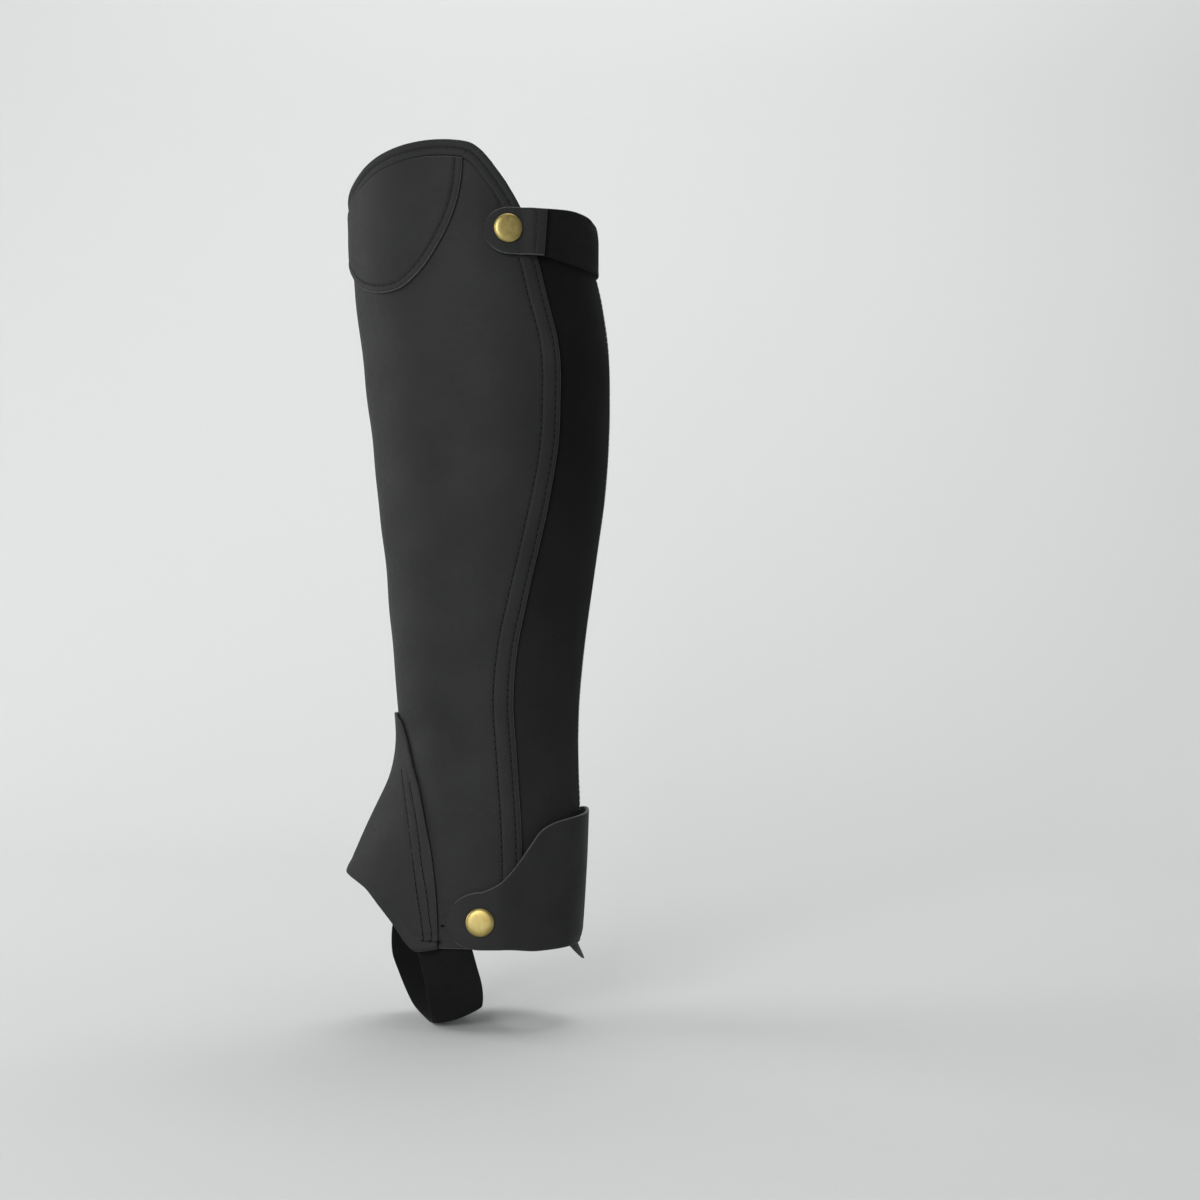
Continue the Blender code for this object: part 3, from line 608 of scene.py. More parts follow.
binding_line = np.stack(moved_line(TOP_LINE, BINDING_WIDTH + GAP, line_points), -1)
binding_line = binding_line[binding_line[:, 0] >= np.maximum.accumulate(binding_line[:, 0])]
edge_angle = np.linspace(PATCH_EDGE[0][0], PATCH_EDGE[-1][0], 1500)
edge_height = on_line(PATCH_EDGE, edge_angle)
on_binding = (edge_angle > 60) & (edge_height > np.interp(edge_angle, *binding_line.T))
meeting = np.argmax(on_binding) + 1
edge_angle, edge_height = edge_angle[:meeting], edge_height[:meeting]
patch_edge, patch_length = evenly(edge_angle, edge_height, patch_columns)
patch_scale = degree_length(*patch_edge.T)
run, climb = np.gradient(patch_edge[:, 0]) * patch_scale, np.gradient(patch_edge[:, 1])
inward = np.stack([-climb / patch_scale, run], -1) / np.hypot(run, climb)[:, None]
along_top = (binding_line[:, 0] > edge_angle[0]) & (binding_line[:, 0] < edge_angle[-1])
back_line = np.concatenate([[[edge_angle[-1], edge_height[-1]]], binding_line[along_top][::-1]])
back_line, back_length = evenly(*back_line.T, line_points)
back_runs = np.linspace(0, back_length, line_points)


def back_at(distance):
    """The point on the patch's upper line at a distance before its rear corner."""
    return np.stack([np.interp(distance, back_runs, back_line[:, k]) for k in (0, 1)], -1)


patch_runs = np.linspace(0, patch_length, patch_columns)
near_corner = rise(patch_runs, patch_length - CORNER_REACH, patch_length)[:, None]
wedge = np.interp(patch_edge[:, 0], *binding_line.T) - patch_edge[:, 1]
room = np.clip(0.75 * wedge / PATCH_STEPS[-1], 0, 1)[:, None]
room[patch_columns // 2:] = 1  # only the inner end runs out to a point
patch_rows = []
for step in PATCH_STEPS:
    row = patch_edge + inward * step * room
    patch_rows.append(row + near_corner * (back_at(step) - row[-1]))
last_near = patch_rows[-1]
above_edge = np.interp(last_near[:, 0], back_line[::-1, 0], back_runs[::-1])
along_row = np.linspace(0, 1, patch_columns)
to_side = rise(along_row, 0.15, 0.85)
even_row = back_length + (PATCH_SIDE - back_length) * along_row
top_row = back_at(above_edge * (1 - to_side) + even_row * to_side)
far_shares = np.linspace(0, 1, 26)[1:]
for share in far_shares:
    row = last_near * (1 - share) + top_row * share
    side_point = back_at(PATCH_STEPS[-1] + share * (PATCH_SIDE - PATCH_STEPS[-1]))
    patch_rows.append(row + near_corner * (side_point - row[-1]))
knee_angle, knee_height = np.moveaxis(np.array(patch_rows), -1, 0)
patch_depth = np.concatenate([PATCH_STEPS, PATCH_STEPS[-1] + 30 * far_shares])[:, None]
patch_relief = 0.25 * rise(patch_depth, 4.2, 13) - 0.48 * trough(patch_depth, PATCH_ROW, 0.9)
patch_relief = patch_relief - 0.25 * (1 - rise(patch_depth, 0, 1.6)) + 0.10 * trough(patch_depth, 1.9, 0.9)
patch_over = on_chap(knee_angle, knee_height, ON_PANEL + LEATHER + patch_relief)
knee_patch = sewn_sheet(
    "knee_patch_hide",
    on_chap(knee_angle, knee_height, ON_PANEL),
    patch_over,
    [leather, cut_edge],
    edge=0.4,
)
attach(knee_patch, "chap")
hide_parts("knee_patch")
patch_row = int(np.argmin(np.abs(PATCH_STEPS - PATCH_ROW)))
row_out = straight_out(knee_angle[patch_row], knee_height[patch_row])
sewn = slice(int(np.argmax(room[:, 0] > 0.8)), -1)
patch_thread = stitch_row("patch_stitches", [(patch_over[patch_row][sewn], row_out[sewn])], hole=0.42)

# The top binding: a 1.2 mm strip of grained leather folded over the raw top edge and sewn through
# its middle, so both halves stand up a little from the stitch line.
BINDING_PROFILE = [
    (8.6, 4.25), (8.6, 5.05), (8.35, 5.38), (7.4, 5.55), (6.2, 5.58), (5.2, 5.42), (4.7, 5.15), (4.3, 4.98),
    (3.9, 5.15), (3.4, 5.42), (2.6, 5.60), (1.7, 5.58), (0.9, 5.38), (0.35, 4.95), (0.05, 4.2), (-0.05, 3.0),
    (0.05, 1.7), (0.35, 0.95), (0.9, 0.5), (1.8, 0.35), (4.3, 0.45), (6.5, 0.35), (8.3, 0.42), (8.6, 0.7),
    (8.6, 1.55), (6.0, 1.6), (1.9, 1.6), (1.4, 1.9), (1.3, 2.9), (1.4, 3.9), (1.9, 4.2), (6.0, 4.2),
]  # depth below the top edge, layer
grained = hide_finish("grained_binding", (0.0190, 0.0192, 0.0197), (0.0240, 0.0242, 0.0247), 0.62, 0.75)
stations = 330
rings = []
for depth, layer in BINDING_PROFILE:
    angle, height = moved_line(TOP_LINE, depth, stations)
    rings.append(on_chap(angle, height, layer))
rings = np.stack(rings, 1)[1:-1]
count, around = rings.shape[:2]
ring_index = np.arange(count * around).reshape(count, around)
turned = np.roll(ring_index, -1, 1)
faces = np.stack([ring_index[:-1], ring_index[1:], turned[1:], turned[:-1]], -1).reshape(-1, 4).tolist()
faces += [ring_index[0].tolist(), ring_index[-1][::-1].tolist()]
top_binding = make_piece("top_binding_hide", rings.reshape(-1, 3), faces, [grained])
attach(top_binding, "chap")
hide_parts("top_binding")
fold_angle, fold_height = moved_line(TOP_LINE, 4.3, stations)
fold_out = straight_out(fold_angle, fold_height)
fold_line = on_chap(fold_angle, fold_height, 4.98)
binding_thread = stitch_row("binding_stitches", [(fold_line[4:-4], fold_out[4:-4])], hole=0.38)

# The two stretch panels at the back: a firm warp-knit elastic, 1.6 mm thick, that lets the chap
# fit the calf. They run from under the leather's rear edge to the zip.
ZIP_HALF_OPENING, STRETCH_TOP = 4.0, 90.7
TAIL_START = HEM + 7
SEAM_LAP = 6.0
stretch = new_finish("warp_knit", (0.004, 0.004, 0.0042), 0.9, specular=0.08, sheen=0.02)
knit_cut = cut_of(stretch)
knit_ribs = put(stretch, "TexWave", {"Vector": knit_cut, "Scale": 0.32, "Distortion": 0.6, "Detail": 1.0})
knit_loops = put(stretch, "TexVoronoi", {"Vector": knit_cut, "Scale": 1.9})
knit_first = bumps(stretch, knit_ribs.outputs["Fac"], 0.35, 0.0003)
feed(stretch, "Normal", bumps(stretch, knit_loops.outputs["Distance"], 0.4, 0.0002, knit_first))
knit_tone = noise(stretch, knit_cut, 0.03, 3.0)
# The knit's tone is painted darker at the top and lighter toward the ankle. These are painted shade and
# painted light, laid over its own random tone.
knit_shaded_tone = shades(stretch, knit_tone, [(0.3, (0.0040, 0.0040, 0.0042)), (0.7, (0.0056, 0.0056, 0.0058))])
knit_lit_tone = shades(stretch, knit_tone, [(0.3, (0.0160, 0.0160, 0.0163)), (0.7, (0.0190, 0.0190, 0.0193))])
knit_height = put(stretch, "SeparateXYZ", {"Vector": knit_cut}).outputs["Y"]
knit_lit_share = put(stretch, "MapRange", {"Value": knit_height, "From Min": -20.0, "From Max": -210.0})
knit_lit_share = knit_lit_share.outputs["Result"]  # more toward the ankle
knit_mix = put(stretch, "MixRGB", {"Fac": knit_lit_share, "Color1": knit_shaded_tone, "Color2": knit_lit_tone})
feed(stretch, "Base Color", knit_mix.outputs["Color"])


def behind(across, height):
    """The angle of a point across the middle line of the back by a distance."""
    return 180 - np.degrees(np.arcsin(across / between(LEG["height"], LEG["half_width"], height)))


heights = np.linspace(TAIL_START, STRETCH_TOP, 180)[:, None]
lap = SEAM_LAP - (SEAM_LAP + 1) * rise(heights, 70, 80)
first, last = on_line(REAR_SEAM, heights) - lap, behind(ZIP_HALF_OPENING, heights)
share = np.concatenate([[0, 0.012], np.linspace(0.03, 0.90, 30), [0.92, 0.94, 0.955, 0.97, 0.985, 1]])
for side, sign in SIDES:
    angle = sign * (first + (last - first) * share)
    height = np.broadcast_to(heights, angle.shape)
    from_zip = (last - np.abs(angle)) * degree_length(np.abs(angle), height)
    relief = -0.2 * trough(from_zip, 3.0, 1.0) - 0.3 * (1 - rise(from_zip, 0, 1.6))
    along = (np.abs(angle) - first) * degree_length(np.abs(angle), height)
    panel = sewn_sheet(
        "stretch_panel_knit_" + side,
        on_chap(angle, height, 0),
        on_chap(angle, height, ELASTIC + relief),
        [stretch],
        cut=(along, height),
        edge=0.35,
    )
    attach(panel, "chap")
    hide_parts("stretch_panel_" + side)
    row_height = np.linspace(TAIL_START + 2, STRETCH_TOP - 2, 300)
    row_angle = sign * behind(ZIP_HALF_OPENING + 3.0, row_height)
    zip_thread = stitch_row(
        "zip_stitches_" + side,
        [rows_on(lambda a, h: on_chap(a, h, ELASTIC - 0.2), row_angle, row_height)],
        pitch=3.2,
        radius=0.28,
        hole=0.4,
    )

# The zip up the middle of the back: two woven tapes, whose cut tails hang free below the hem, and
# blackened teeth that lock them together.
TAPE_WIDTH, TAPE_TOP, TAIL_FLARE, TAIL_BEND = 14.0, 90.5, 0.52, 4.0
UNDER_ZIP = -1.3
tape_cloth = new_finish("zip_tape", (0.010, 0.010, 0.0105), 0.8, sheen=0.04)
tape_cut = cut_of(tape_cloth)
tape_weave = put(tape_cloth, "TexWave", {"Vector": tape_cut, "Scale": 0.55}, bands_direction="DIAGONAL")
feed(tape_cloth, "Normal", bumps(tape_cloth, tape_weave.outputs["Fac"], 0.6, 0.0002))
# The tapes' cut edges are painted lighter: a painted highlight where the light catches the cut tails.
tape_edge_highlight = new_finish("painted_highlight_tape_edge", (0.034, 0.034, 0.033), 0.65)
ends_fibre = noise(tape_edge_highlight, place_in(tape_edge_highlight), 1500.0, 2.0)
feed(tape_edge_highlight, "Normal", bumps(tape_edge_highlight, ends_fibre, 0.4, 0.0002))


def on_tape(across, height, layer):
    """Points on the zip tape, whose free ends below the hem bend away from the leg."""
    below = np.maximum(TAIL_START - height, 0)
    flare = TAIL_FLARE * below * below / (below + TAIL_BEND)
    return on_leg(behind(across, height), height, layer + flare)


for side, sign, tail, cut_slant in (("outer", 1, 11.3, 9.0), ("inner", -1, 10.5, 7.0)):
    low = HEM - tail
    share = np.linspace(0, 1, 17)
    rows = [np.linspace(low, TAIL_START, 24), np.linspace(TAIL_START, TAPE_TOP, 150)[1:]]
    rows = np.concatenate(rows)[:, None]
    slant = cut_slant * np.maximum(TAIL_START - rows, 0) / (TAIL_START - low)
    across = GAP / 2 + share * (TAPE_WIDTH - GAP / 2)
    height = rows + slant * share**1.8
    across = np.broadcast_to(sign * across, height.shape)
    tape = sewn_sheet(
        "zip_tape_woven_" + side,
        on_tape(across, height, UNDER_ZIP),
        on_tape(across, height, UNDER_ZIP + TAPE),
        [tape_cloth, tape_edge_highlight],
        cut=(across, height),
        edge=0.2,
        edge_steps=3,
    )
    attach(tape, "chap")
    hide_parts("zip_tape_" + side)

TOOTH_PITCH, TOOTH_MIDDLE, CHAIN_TOP, CHAIN = 1.5, 0.95, 86.5, 1.6
black_metal = new_finish("blackened_metal", (0.055, 0.053, 0.050), 0.38, 1.0)
metal_wear = noise(black_metal, place_in(black_metal), 400.0, 4.0)
feed(black_metal, "Roughness", greys(black_metal, metal_wear, 0.28, 0.52))
metal_tones = [(0.35, (0.035, 0.034, 0.032)), (0.75, (0.085, 0.082, 0.076))]
feed(black_metal, "Base Color", shades(black_metal, metal_wear, metal_tones))
tooth_side = [(-0.9, 0.30), (-0.6, 0.55), (0.7, 0.55), (2.3, 0.75), (2.8, 0.45)]  # across, half height
tooth_ring = tooth_side + [(x, -z) for x, z in reversed(tooth_side)]
around = len(tooth_ring)
TOOTH_LAYERS = ((0.0, 0.85), (0.35, 1.0), (CHAIN - 0.35, 1.0), (CHAIN, 0.8))  # layer, size
points, faces = [], []
for n in range(int((CHAIN_TOP - TAIL_START - 2) / TOOTH_PITCH)):
    level = TAIL_START + 1.5 + n * TOOTH_PITCH
    sign = 1 if n % 2 else -1
    first = len(points)
    for layer, size in TOOTH_LAYERS:
        for x, z in tooth_ring:
            centre = TOOTH_MIDDLE + (x - TOOTH_MIDDLE) * size
            points.append(on_tape(np.array(sign * centre), np.array(level + z * size), layer))
    faces += between_rings(first, len(TOOTH_LAYERS), around, sign < 0)
    last = first + (len(TOOTH_LAYERS) - 1) * around
    caps = [list(range(first, first + around)), list(range(last + around - 1, last - 1, -1))]
    faces += caps if sign < 0 else [cap[::-1] for cap in caps]
zip_teeth = make_piece("zip_teeth", points, faces, [black_metal])
zip_teeth.data.set_sharp_from_angle(angle=math.radians(35))
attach(zip_teeth, "chap")
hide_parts("zip_chain")
for name in ("zip_slider", "zip_pull"):
    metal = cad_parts[name]
    metal.data.materials.clear()
    metal.data.materials.append(black_metal)
    rounding = metal.modifiers.new("rounding", "BEVEL")
    rounding.width = 0.00018
    rounding.segments = 2
    rounding.limit_method = "ANGLE"

# The top strap: a 26 mm band of dense woven elastic, sewn down on the inner side and drawn round
# the back to the snap tab, where it closes the chap over the zip.
STRAP_LEVEL, STRAP_START, STRAP_END = 75.0, 117.5, 258.0
STRAP_DEGREE = 1.05  # millimetres of strap to one degree
BACK_REST = 1.4
STRAP_LOW = [
    (117, 70.3), (124.8, 69.8), (129.3, 69.0), (135.5, 67.8), (143, 67.0), (152.5, 66.3), (173, 66.0),
    (200, 66.4), (230, 67.2), (258, 67.5),
]  # angle, height
STRAP_HIGH = [
    (117, 94.6), (124, 94.8), (131, 95.1), (141, 95.5), (151, 95.1), (161, 94.4), (170, 93.4),
    (180, 92.8), (195, 92.6), (215, 93.0), (258, 93.7),
]  # angle, height
elastic = new_finish("woven_elastic", (0.004, 0.004, 0.0041), 0.8, specular=0.04, sheen=0.02)
weave_cut = cut_of(elastic)
weft = put(elastic, "TexWave", {"Vector": weave_cut, "Scale": 0.42, "Distortion": 0.3}, bands_direction="X")
warp = put(elastic, "TexWave", {"Vector": weave_cut, "Scale": 0.30, "Distortion": 0.3}, bands_direction="Y")
weft_bumps = bumps(elastic, weft.outputs["Fac"], 0.5, 0.00025)
feed(elastic, "Normal", bumps(elastic, warp.outputs["Fac"], 0.35, 0.0002, weft_bumps))
weave_tones = [(0.3, (0.0070, 0.0070, 0.0071)), (0.7, (0.0092, 0.0092, 0.0093))]
feed(elastic, "Base Color", shades(elastic, noise(elastic, weave_cut, 0.05, 3.0), weave_tones))


def on_band(angle, height, layer):
    """Points on the straight ring that the top strap follows, closer in round the back."""
    near = 1 - rise(np.abs(180 - angle), 25, 50)
    point = on_leg(angle, np.full_like(np.asarray(angle, float), STRAP_LEVEL), layer - BACK_REST * near)
    return np.concatenate([point[..., :2], np.broadcast_to(height, point.shape[:-1])[..., None]], -1)


angles = np.linspace(STRAP_START, STRAP_END, 190)[None, :]
across = np.array([0, 0.025, 0.06, 0.12, 0.2, 0.3, 0.4, 0.5, 0.6, 0.7, 0.8, 0.88, 0.94, 0.975, 1])[:, None]
angle, share = np.broadcast_arrays(angles, across)
height = on_line(STRAP_LOW, angle) * (1 - share) + on_line(STRAP_HIGH, angle) * share
selvedge = 0.12 * trough(share, 0.06, 0.04) + 0.12 * trough(share, 0.94, 0.04)
sag = 0.25 * np.sin(angle / 9.0 + height / 16.0)
curl = 1.5 * np.clip((height - 84) / 9, 0, 1) ** 2 * (1 - rise(np.abs(180 - angle), 10, 32))
top_strap = sewn_sheet(
    "top_strap_elastic",
    on_band(angle, height, ON_BINDING + 0.1 * sag - curl),
    on_band(angle, height, ON_BINDING + ELASTIC - 0.1 + selvedge + 0.3 * sag - curl),
    [elastic],
    cut=((angle - STRAP_START) * STRAP_DEGREE, height),
    edge=0.45,
)
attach(top_strap, "chap")
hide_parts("top_strap")
strap_rows = []
row_height = np.linspace(STRAP_LOW[-1][1] + 2, STRAP_HIGH[-1][1] - 2, 30)
for place in (STRAP_END - 2.5, STRAP_END - 8.0):
    row_angle = np.full(30, place)
    line = on_band(row_angle, row_height, ON_BINDING + ELASTIC)
    strap_rows.append((line, straight_out(row_angle, np.full(30, STRAP_LEVEL))))
strap_thread = stitch_row("strap_stitches", strap_rows, pitch=2.8, radius=0.3, hole=0.45)

# The snap tab: a round-ended piece of the same hide, 2 mm thick, sewn over the end of the strap.
# It lies over the binding and the leather, and carries the upper press snap.
TAB_LOW, TAB_HIGH, TAB_END, TAB_SEAM = 69.9, 94.2, 94.0, 122.5
TAB_LAYER = ON_BINDING + GAP
TAB_ROW = 4.9
KNEE_SNAP = (105.1, 83.1)


def on_tab(angle, height, layer):
    """Points on the tab, which steps up over the end of the strap."""
    return on_band(angle, height, layer + (ELASTIC + GAP) * rise(angle, 110.5, 118.5))


def round_end(start, radius, scale, blunt, count):
    """Angles of a round end's columns and the half height of the piece at each."""
    turn = np.linspace(math.radians(blunt), math.pi / 2, count)
    return start + radius * (1 - np.cos(turn)) / scale, radius * np.sin(turn)


tab_half = (TAB_HIGH - TAB_LOW) / 2
tab_scale = float(degree_length(np.array(KNEE_SNAP[0]), np.array(STRAP_LEVEL)))
end_angle, end_half = round_end(TAB_END, tab_half, tab_scale, 5, 26)
seam_steps = np.array([9, 7.4, 6.4, 5.8, 5.4, 4.9, 4.4, 4.0, 3.2, 1.8, 0.9, 0]) / tab_scale
body_angle = np.linspace(end_angle[-1], TAB_SEAM - 10 / tab_scale, 12)[1:]
body_angle = np.concatenate([body_angle, TAB_SEAM - seam_steps])
column_angle = np.concatenate([end_angle, body_angle])
column_half = np.concatenate([end_half, np.full(len(body_angle), tab_half)])
share = np.concatenate([[-1, -0.95, -0.88], np.linspace(-0.8, 0.8, 20), [0.88, 0.95, 1]])[:, None]
straight = np.broadcast_to(column_angle, (len(share), len(column_angle)))
angle = straight + (0.75 + 0.85 * share) * rise(straight, 112, TAB_SEAM)
height = (TAB_LOW + TAB_HIGH) / 2 + share * column_half
from_seam = (TAB_SEAM - straight) * tab_scale
tab_relief = -0.30 * trough(from_seam, TAB_ROW, 0.7) - 0.15 * (1 - rise(from_seam, 0, 1.5))
tab_relief = tab_relief + 0.10 * rise(1 - np.abs(share), 0, 0.15)
tab_over = on_tab(angle, height, TAB_LAYER + LEATHER + tab_relief)
tab_under = on_tab(angle, height, TAB_LAYER)
snap_tab = sewn_sheet("snap_tab_hide", tab_under, tab_over, [leather, cut_edge], edge=0.45)
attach(snap_tab, "chap")
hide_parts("snap_tab")
row_height = np.linspace(TAB_LOW + 1.8, TAB_HIGH - 1.8, 30)
row_angle = TAB_SEAM - TAB_ROW / tab_scale + 0.7 * np.linspace(-0.1, 1.6, 30)
row_line = on_tab(row_angle, row_height, TAB_LAYER + LEATHER - 0.3)
row_out = straight_out(row_angle, np.full(30, STRAP_LEVEL))
tab_thread = stitch_row("tab_stitches", [(row_line, row_out)])

# The ankle cover: a 1.8 mm leather flap sewn down on the inner side, wrapped round the back of the
# ankle and snapped on the outer side. Its round end is held off the panel by the snap beneath it.
COVER_TOP = [
    (78, -266.2), (82, -262.5), (89, -258.6), (96.5, -255.0), (103.5, -249.2), (109, -243.5),
    (115, -236.5), (122, -229.3), (131, -225.4), (143, -223.4), (158, -222.2), (170, -221.6),
    (180, -221.0), (192, -220.2), (205, -221.8), (230, -230.4), (262, -245.0),
]  # angle, height
COVER_STAND = [(-290, -0.2), (-273, 0.2), (-258, 0.55), (-242, 0.75), (-230, 0.65), (-218, 0.35)]
COVER_RADIUS, COVER_REACH = 15.6, 17.0
COVER_DIP = 1.6  # how much lower the cover hangs round the back
SNAP_LIFT = 1.7  # how far the lower snap holds the cover's end off the panel
ANKLE_SNAP = (86.7, -275.3)


def cover_layer(angle, height):
    """How far the cover lies off the panel: its snapped end, its straight back and its tucked foot."""
    lift = SNAP_LIFT * (1 - rise(angle, 94, 112))
    stand = on_line(COVER_STAND, height) * rise(angle, 120, 165) * (1 - rise(angle, 215, 250))
    tuck = 0.9 * (1 - rise(height, HEM, HEM + 3.5)) * rise(angle, 135, 165) * (1 - rise(angle, 200, 235))
    return lift + stand - tuck


cover_scale = float(degree_length(np.array(ANKLE_SNAP[0]), np.array(ANKLE_SNAP[1])))
cover_start = ANKLE_SNAP[0] - COVER_REACH / cover_scale
end_angle, end_half = round_end(cover_start, COVER_REACH, cover_scale, 5, 26)
end_angle, end_half = end_angle[:-1], end_half[:-1] * COVER_RADIUS / COVER_REACH
flap_angle = np.linspace(ANKLE_SNAP[0], COVER_TOP[-1][0], 150)
column_angle = np.concatenate([end_angle, flap_angle])
low_half = end_half * (ANKLE_SNAP[1] - HEM) / COVER_RADIUS
low_edge = HEM - COVER_DIP * rise(flap_angle, 98, 122) * (1 - rise(flap_angle, 190, 235))
column_low = np.concatenate([ANKLE_SNAP[1] - low_half, low_edge])
column_high = np.concatenate([ANKLE_SNAP[1] + end_half, on_line(COVER_TOP, flap_angle)])
share = np.concatenate([[0, 0.02, 0.05], np.linspace(0.09, 0.91, 34), [0.95, 0.98, 1]])[:, None]
angle = np.broadcast_to(column_angle, (len(share), len(column_angle)))
height = column_low + share * (column_high - column_low)
cover_lift = cover_layer(angle, height)
cover_relief = 0.12 * np.sin(angle / 7.0 + height / 11.0) - 0.15 * (1 - rise(share, 0, 0.05))
ankle_cover = sewn_sheet(
    "ankle_cover_hide",
    on_chap(angle, height, ON_PANEL + cover_lift),
    on_chap(angle, height, ON_PANEL + THIN_LEATHER + cover_lift + cover_relief),
    [leather, cut_edge],
    edge=0.42,
)
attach(ankle_cover, "chap")
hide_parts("ankle_cover")
cover_rows = []
for distance in (3.0, 8.0):
    row_height = np.linspace(HEM + 2.5, COVER_TOP[-1][1] - 2.5, 30)
    row_angle = np.full(30, COVER_TOP[-1][0] - distance)
    cover_rows.append(rows_on(lambda a, h: on_chap(a, h, ON_PANEL + THIN_LEATHER), row_angle, row_height))
cover_thread = stitch_row("cover_stitches", cover_rows)

# The instep gusset: a flared 1.8 mm leather piece over the boot's instep, laid over the cut in the
# front and sewn with two rows beside its rear edges. Its hem is turned and rolls at the corners.
GUSSET_SEAM = [
    (-295, 72.5), (-281, 71.6), (-269, 70.4), (-254, 68.0), (-241, 64.6), (-230, 60.5), (-218, 55.0),
    (-206, 47.5), (-195, 38.3), (-180, 26.5), (-172.5, 21.0),
]  # height, angle
GUSSET_LOW = [
    (0, -254.3), (14, -256.1), (28, -259.4), (36, -262.9), (45.5, -270.5), (53, -278.2), (60, -287.6),
    (62.6, -290.6), (65, -291.9), (73, HEM),
]
GUSSET_TOP, GUSSET_TOP_DROP = -168.5, 4.0
GUSSET_TURN, GUSSET_TACK = -286.0, -278.1  # heights of the row that joins the two, and of the tack
GUSSET_ROWS = {
    "far": [
        (-288, 66.6), (-283, 66.2), (-273, 64.3), (-265.4, 62.4), (-252.6, 59.0), (-244.9, 56.4),
        (-233.2, 51.6), (-223, 46.8), (-210.8, 38.8), (-201.6, 31.0), (-193, 24.5),
    ],
    "near": [
        (-288, 69.6), (-280.4, 69.2), (-274.2, 67.9), (-263.6, 66.0), (-252.3, 63.0), (-244.7, 60.5),
        (-233.9, 56.9), (-221.1, 51.3), (-211.4, 45.0), (-200, 36.6), (-190, 28.8),
    ],
}  # height, angle


def gusset_relief(angle, height):
    """The grooves of the two stitch rows, the turned hem's roll and a soft edge."""
    size = np.abs(angle)
    scale = degree_length(size, height)
    relief = np.zeros_like(size)
    for row in GUSSET_ROWS.values():
        reach = rise(height, -289, -284) * (1 - rise(height, -204, -194))
        relief = relief - 0.42 * trough((size - on_line(row, height)) * scale, 0, 0.9) * reach
    edge = (on_line(GUSSET_SEAM, height) - size) * scale
    relief = relief - 0.30 * (1 - rise(edge, 0, 1.6))
    above = height - on_line(GUSSET_LOW, size)
    roll = trough(above, 2.6, 2.6) - 0.45 * trough(above, 7.0, 1.8)
    return relief + (0.35 + 0.75 * rise(size, 56, 66)) * roll


def gusset_face(angle, height):
    """Points on the outside of the gusset."""
    return on_chap(angle, height, ON_PANEL + THIN_LEATHER + gusset_relief(angle, height))


half = np.concatenate([np.linspace(0, 0.86, 44), np.linspace(0.86, 1, 22)[1:]])
gusset_angle, gusset_height = fill(
    np.concatenate([-half[:0:-1], half]),
    np.concatenate([[0, 0.006, 0.014, 0.024, 0.036, 0.05], np.linspace(0.065, 0.985, 84), [0.993, 1]]),
    lambda u, height: u * on_line(GUSSET_SEAM, height),
    lambda angle: on_line(GUSSET_LOW, np.abs(angle)),
    lambda angle: GUSSET_TOP - GUSSET_TOP_DROP * (angle / GUSSET_SEAM[-1][1]) ** 2,
)
# The gusset's cut edges take the dark edge finish, a painted shadow line along its rear edges.
instep_gusset = sewn_sheet(
    "instep_gusset_hide",
    on_chap(gusset_angle, gusset_height, ON_PANEL),
    gusset_face(gusset_angle, gusset_height),
    [leather, painted_shadow_edge],
    edge=0.42,
)
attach(instep_gusset, "chap")
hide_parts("instep_gusset")
for side, sign in SIDES:
    lines = []
    for row, stop in (("far", -199), ("near", -205)):
        row_height = np.linspace(GUSSET_TURN, stop, 160)
        lines.append(rows_on(gusset_face, sign * on_line(GUSSET_ROWS[row], row_height), row_height))
    lines.append(rows_on(gusset_face, sign * np.linspace(66.4, 72.4, 12), GUSSET_TURN))
    lines.append(rows_on(panel_face, sign * np.linspace(72.8, 76.4, 12), GUSSET_TACK))
    stitch_row("gusset_stitches_" + side, lines, radius=0.38, hole=1.0)

# The stirrup strap: woven elastic 1.6 mm thick, sewn inside the hem on both sides, that hangs in a
# loop under the foot and is pulled forward by it.
STIRRUP = np.array([
    (-32.4, -31.8, -290, -3.6, -37.6, -290, 0), (-30.2, -33.2, -301, -0.8, -37.8, -300, 0),
    (-27.8, -34.0, -312, 1.4, -36.6, -308.5, 0.4), (-26.2, -31.4, -321.5, 1.9, -34.2, -315.5, 1.0),
    (-26.0, -25.2, -328.6, 0.6, -28.4, -320.8, 2.0), (-27.0, -13.5, -332.0, -3.0, -14.0, -324.4, 2.2),
    (-31.4, 1.0, -332.4, -7.0, 1.0, -325.8, 1.6), (-38.4, 13.0, -328.4, -11.0, 14.0, -323.6, 1.0),
    (-43.6, 22.0, -321.8, -13.6, 24.0, -319, 0.4), (-48.2, 26.6, -312.4, -16.0, 31.5, -312, 0),
    (-51.4, 27.0, -303, -19.0, 34.6, -302, 0), (-51.6, 26.0, -291, -21.0, 35.0, -291, 0),
])  # front edge x, y, z, rear edge x, y, z, bow
SEWN_LAYER, STIRRUP_WIDTH = -0.1, 30
stirrup_columns, stirrup_rows = 25, 220
share = np.linspace(0, 1, stirrup_columns)
rows = [on_leg(64 + 17.3 * share, z, SEWN_LAYER) for z in (-272.0, -281.0)]
for row in STIRRUP:
    line = row[:3] * (1 - share[:, None]) + row[3:6] * share[:, None]
    line[:, 2] -= 4 * row[6] * share * (1 - share)
    rows.append(line)
rows += [on_leg(-48 - 25 * share, z, SEWN_LAYER) for z in (-281.0, -269.0)]
rows = np.array(rows)
middle_row, middle_column = stirrup_rows // 2, stirrup_columns // 2
chord = np.linalg.norm(np.diff(rows[:, middle_column], axis=0), axis=1)
along = np.concatenate([[0], np.cumsum(chord)])
fine = np.linspace(0, along[-1], stirrup_rows)
strap = np.empty((stirrup_rows, stirrup_columns, 3))
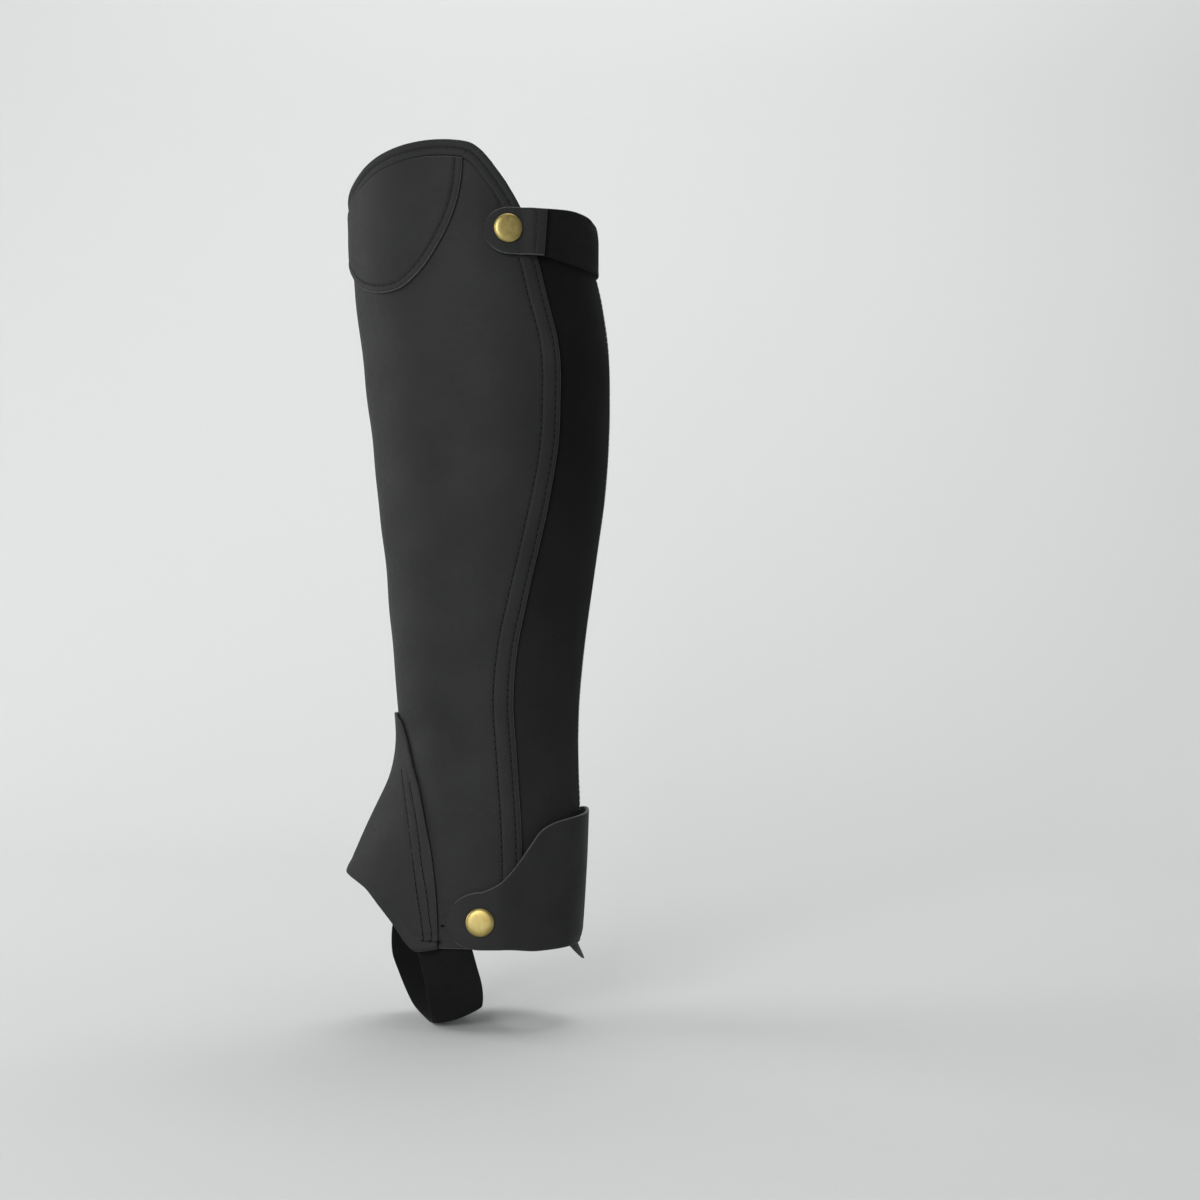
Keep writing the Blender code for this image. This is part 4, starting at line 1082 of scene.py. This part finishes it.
for j in range(stirrup_columns):
    for k in range(3):
        strap[:, j, k] = between(along, rows[:, j, k], fine)
out = np.cross(np.gradient(strap, axis=0), np.gradient(strap, axis=1))
out /= np.linalg.norm(out, axis=-1, keepdims=True)
centre = strap.mean((0, 1))
if out[middle_row, middle_column] @ (strap[middle_row, middle_column] - centre) < 0:
    out = -out
selvedge = 0.12 * trough(share, 0.07, 0.05) + 0.12 * trough(share, 0.93, 0.05)
cut_along = np.broadcast_to(fine[:, None], strap.shape[:2])
cut_across = np.broadcast_to(share * STIRRUP_WIDTH, strap.shape[:2])
stirrup_strap = sewn_sheet(
    "stirrup_strap_elastic",
    strap,
    strap + out * (ELASTIC - 0.1 + selvedge)[None, :, None],
    [elastic],
    cut=(cut_along, cut_across),
    edge=0.45,
)
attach(stirrup_strap, "chap")
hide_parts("stirrup_strap")

# The press snaps: spun caps of antiqued brass, 15 mm across, slightly domed with a rolled rim. The
# stud under each and the washer inside are of the same brass and stay as they are in the frame.
CAP = [
    (0, 2.06), (1.2, 2.055), (2.4, 2.04), (3.6, 2.01), (4.7, 1.96), (5.5, 1.88), (6.2, 1.74), (6.75, 1.50),
    (7.15, 1.20), (7.38, 0.90), (7.5, 0.6), (7.44, 0.4), (7.25, 0.2), (7.0, 0.05), (6.6, 0), (0, 0),
]  # radius, height
brass = new_finish("antique_brass", (0.30, 0.215, 0.070), 0.34, 1.0)
brass_place = place_in(brass)
brass_patina = noise(brass, brass_place, 260.0, 5.0, 0.6)
brass_tones = [(0.3, (0.33, 0.250, 0.083)), (0.52, (0.40, 0.32, 0.118)), (0.75, (0.46, 0.385, 0.165))]
feed(brass, "Base Color", shades(brass, brass_patina, brass_tones))
feed(brass, "Roughness", greys(brass, brass_patina, 0.38, 0.52))
feed(brass, "Normal", bumps(brass, noise(brass, brass_place, 1800.0, 2.0), 0.12, 0.0001))
knee_foot = on_tab(*map(np.array, KNEE_SNAP), TAB_LAYER + LEATHER + GAP)
ankle_foot = on_leg(*map(np.array, ANKLE_SNAP), ON_PANEL + SNAP_LIFT + THIN_LEATHER + GAP)
snaps = (("knee_snap", KNEE_SNAP, knee_foot), ("ankle_snap", ANKLE_SNAP, ankle_foot))
cap_steps = 72
for name, (angle, height), foot in snaps:
    out = straight_out(np.array(angle), np.array(height))
    side = np.cross((0, 0, 1), out)
    points = [foot + out * CAP[0][1]]
    for radius, level in CAP[1:-1]:
        for turn in np.linspace(0, math.tau, cap_steps + 1)[:-1]:
            ring = side * math.cos(turn) + np.array((0, 0, 1)) * math.sin(turn)
            points.append(foot + out * level + ring * radius)
    points.append(foot)
    faces = [(0, 1 + k, 1 + (k + 1) % cap_steps) for k in range(cap_steps)]
    faces += between_rings(1, len(CAP) - 2, cap_steps, True)
    last_ring = 1 + (len(CAP) - 3) * cap_steps
    faces += [(len(points) - 1, last_ring + (k + 1) % cap_steps, last_ring + k) for k in range(cap_steps)]
    cap = make_piece(name + "_cap_brass", points, faces, [brass])
    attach(cap, "chap")
    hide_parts(name + "_cap")
    for part in ("_stud", "_washer"):
        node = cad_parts[name + part]
        node.data.materials.clear()
        node.data.materials.append(brass)
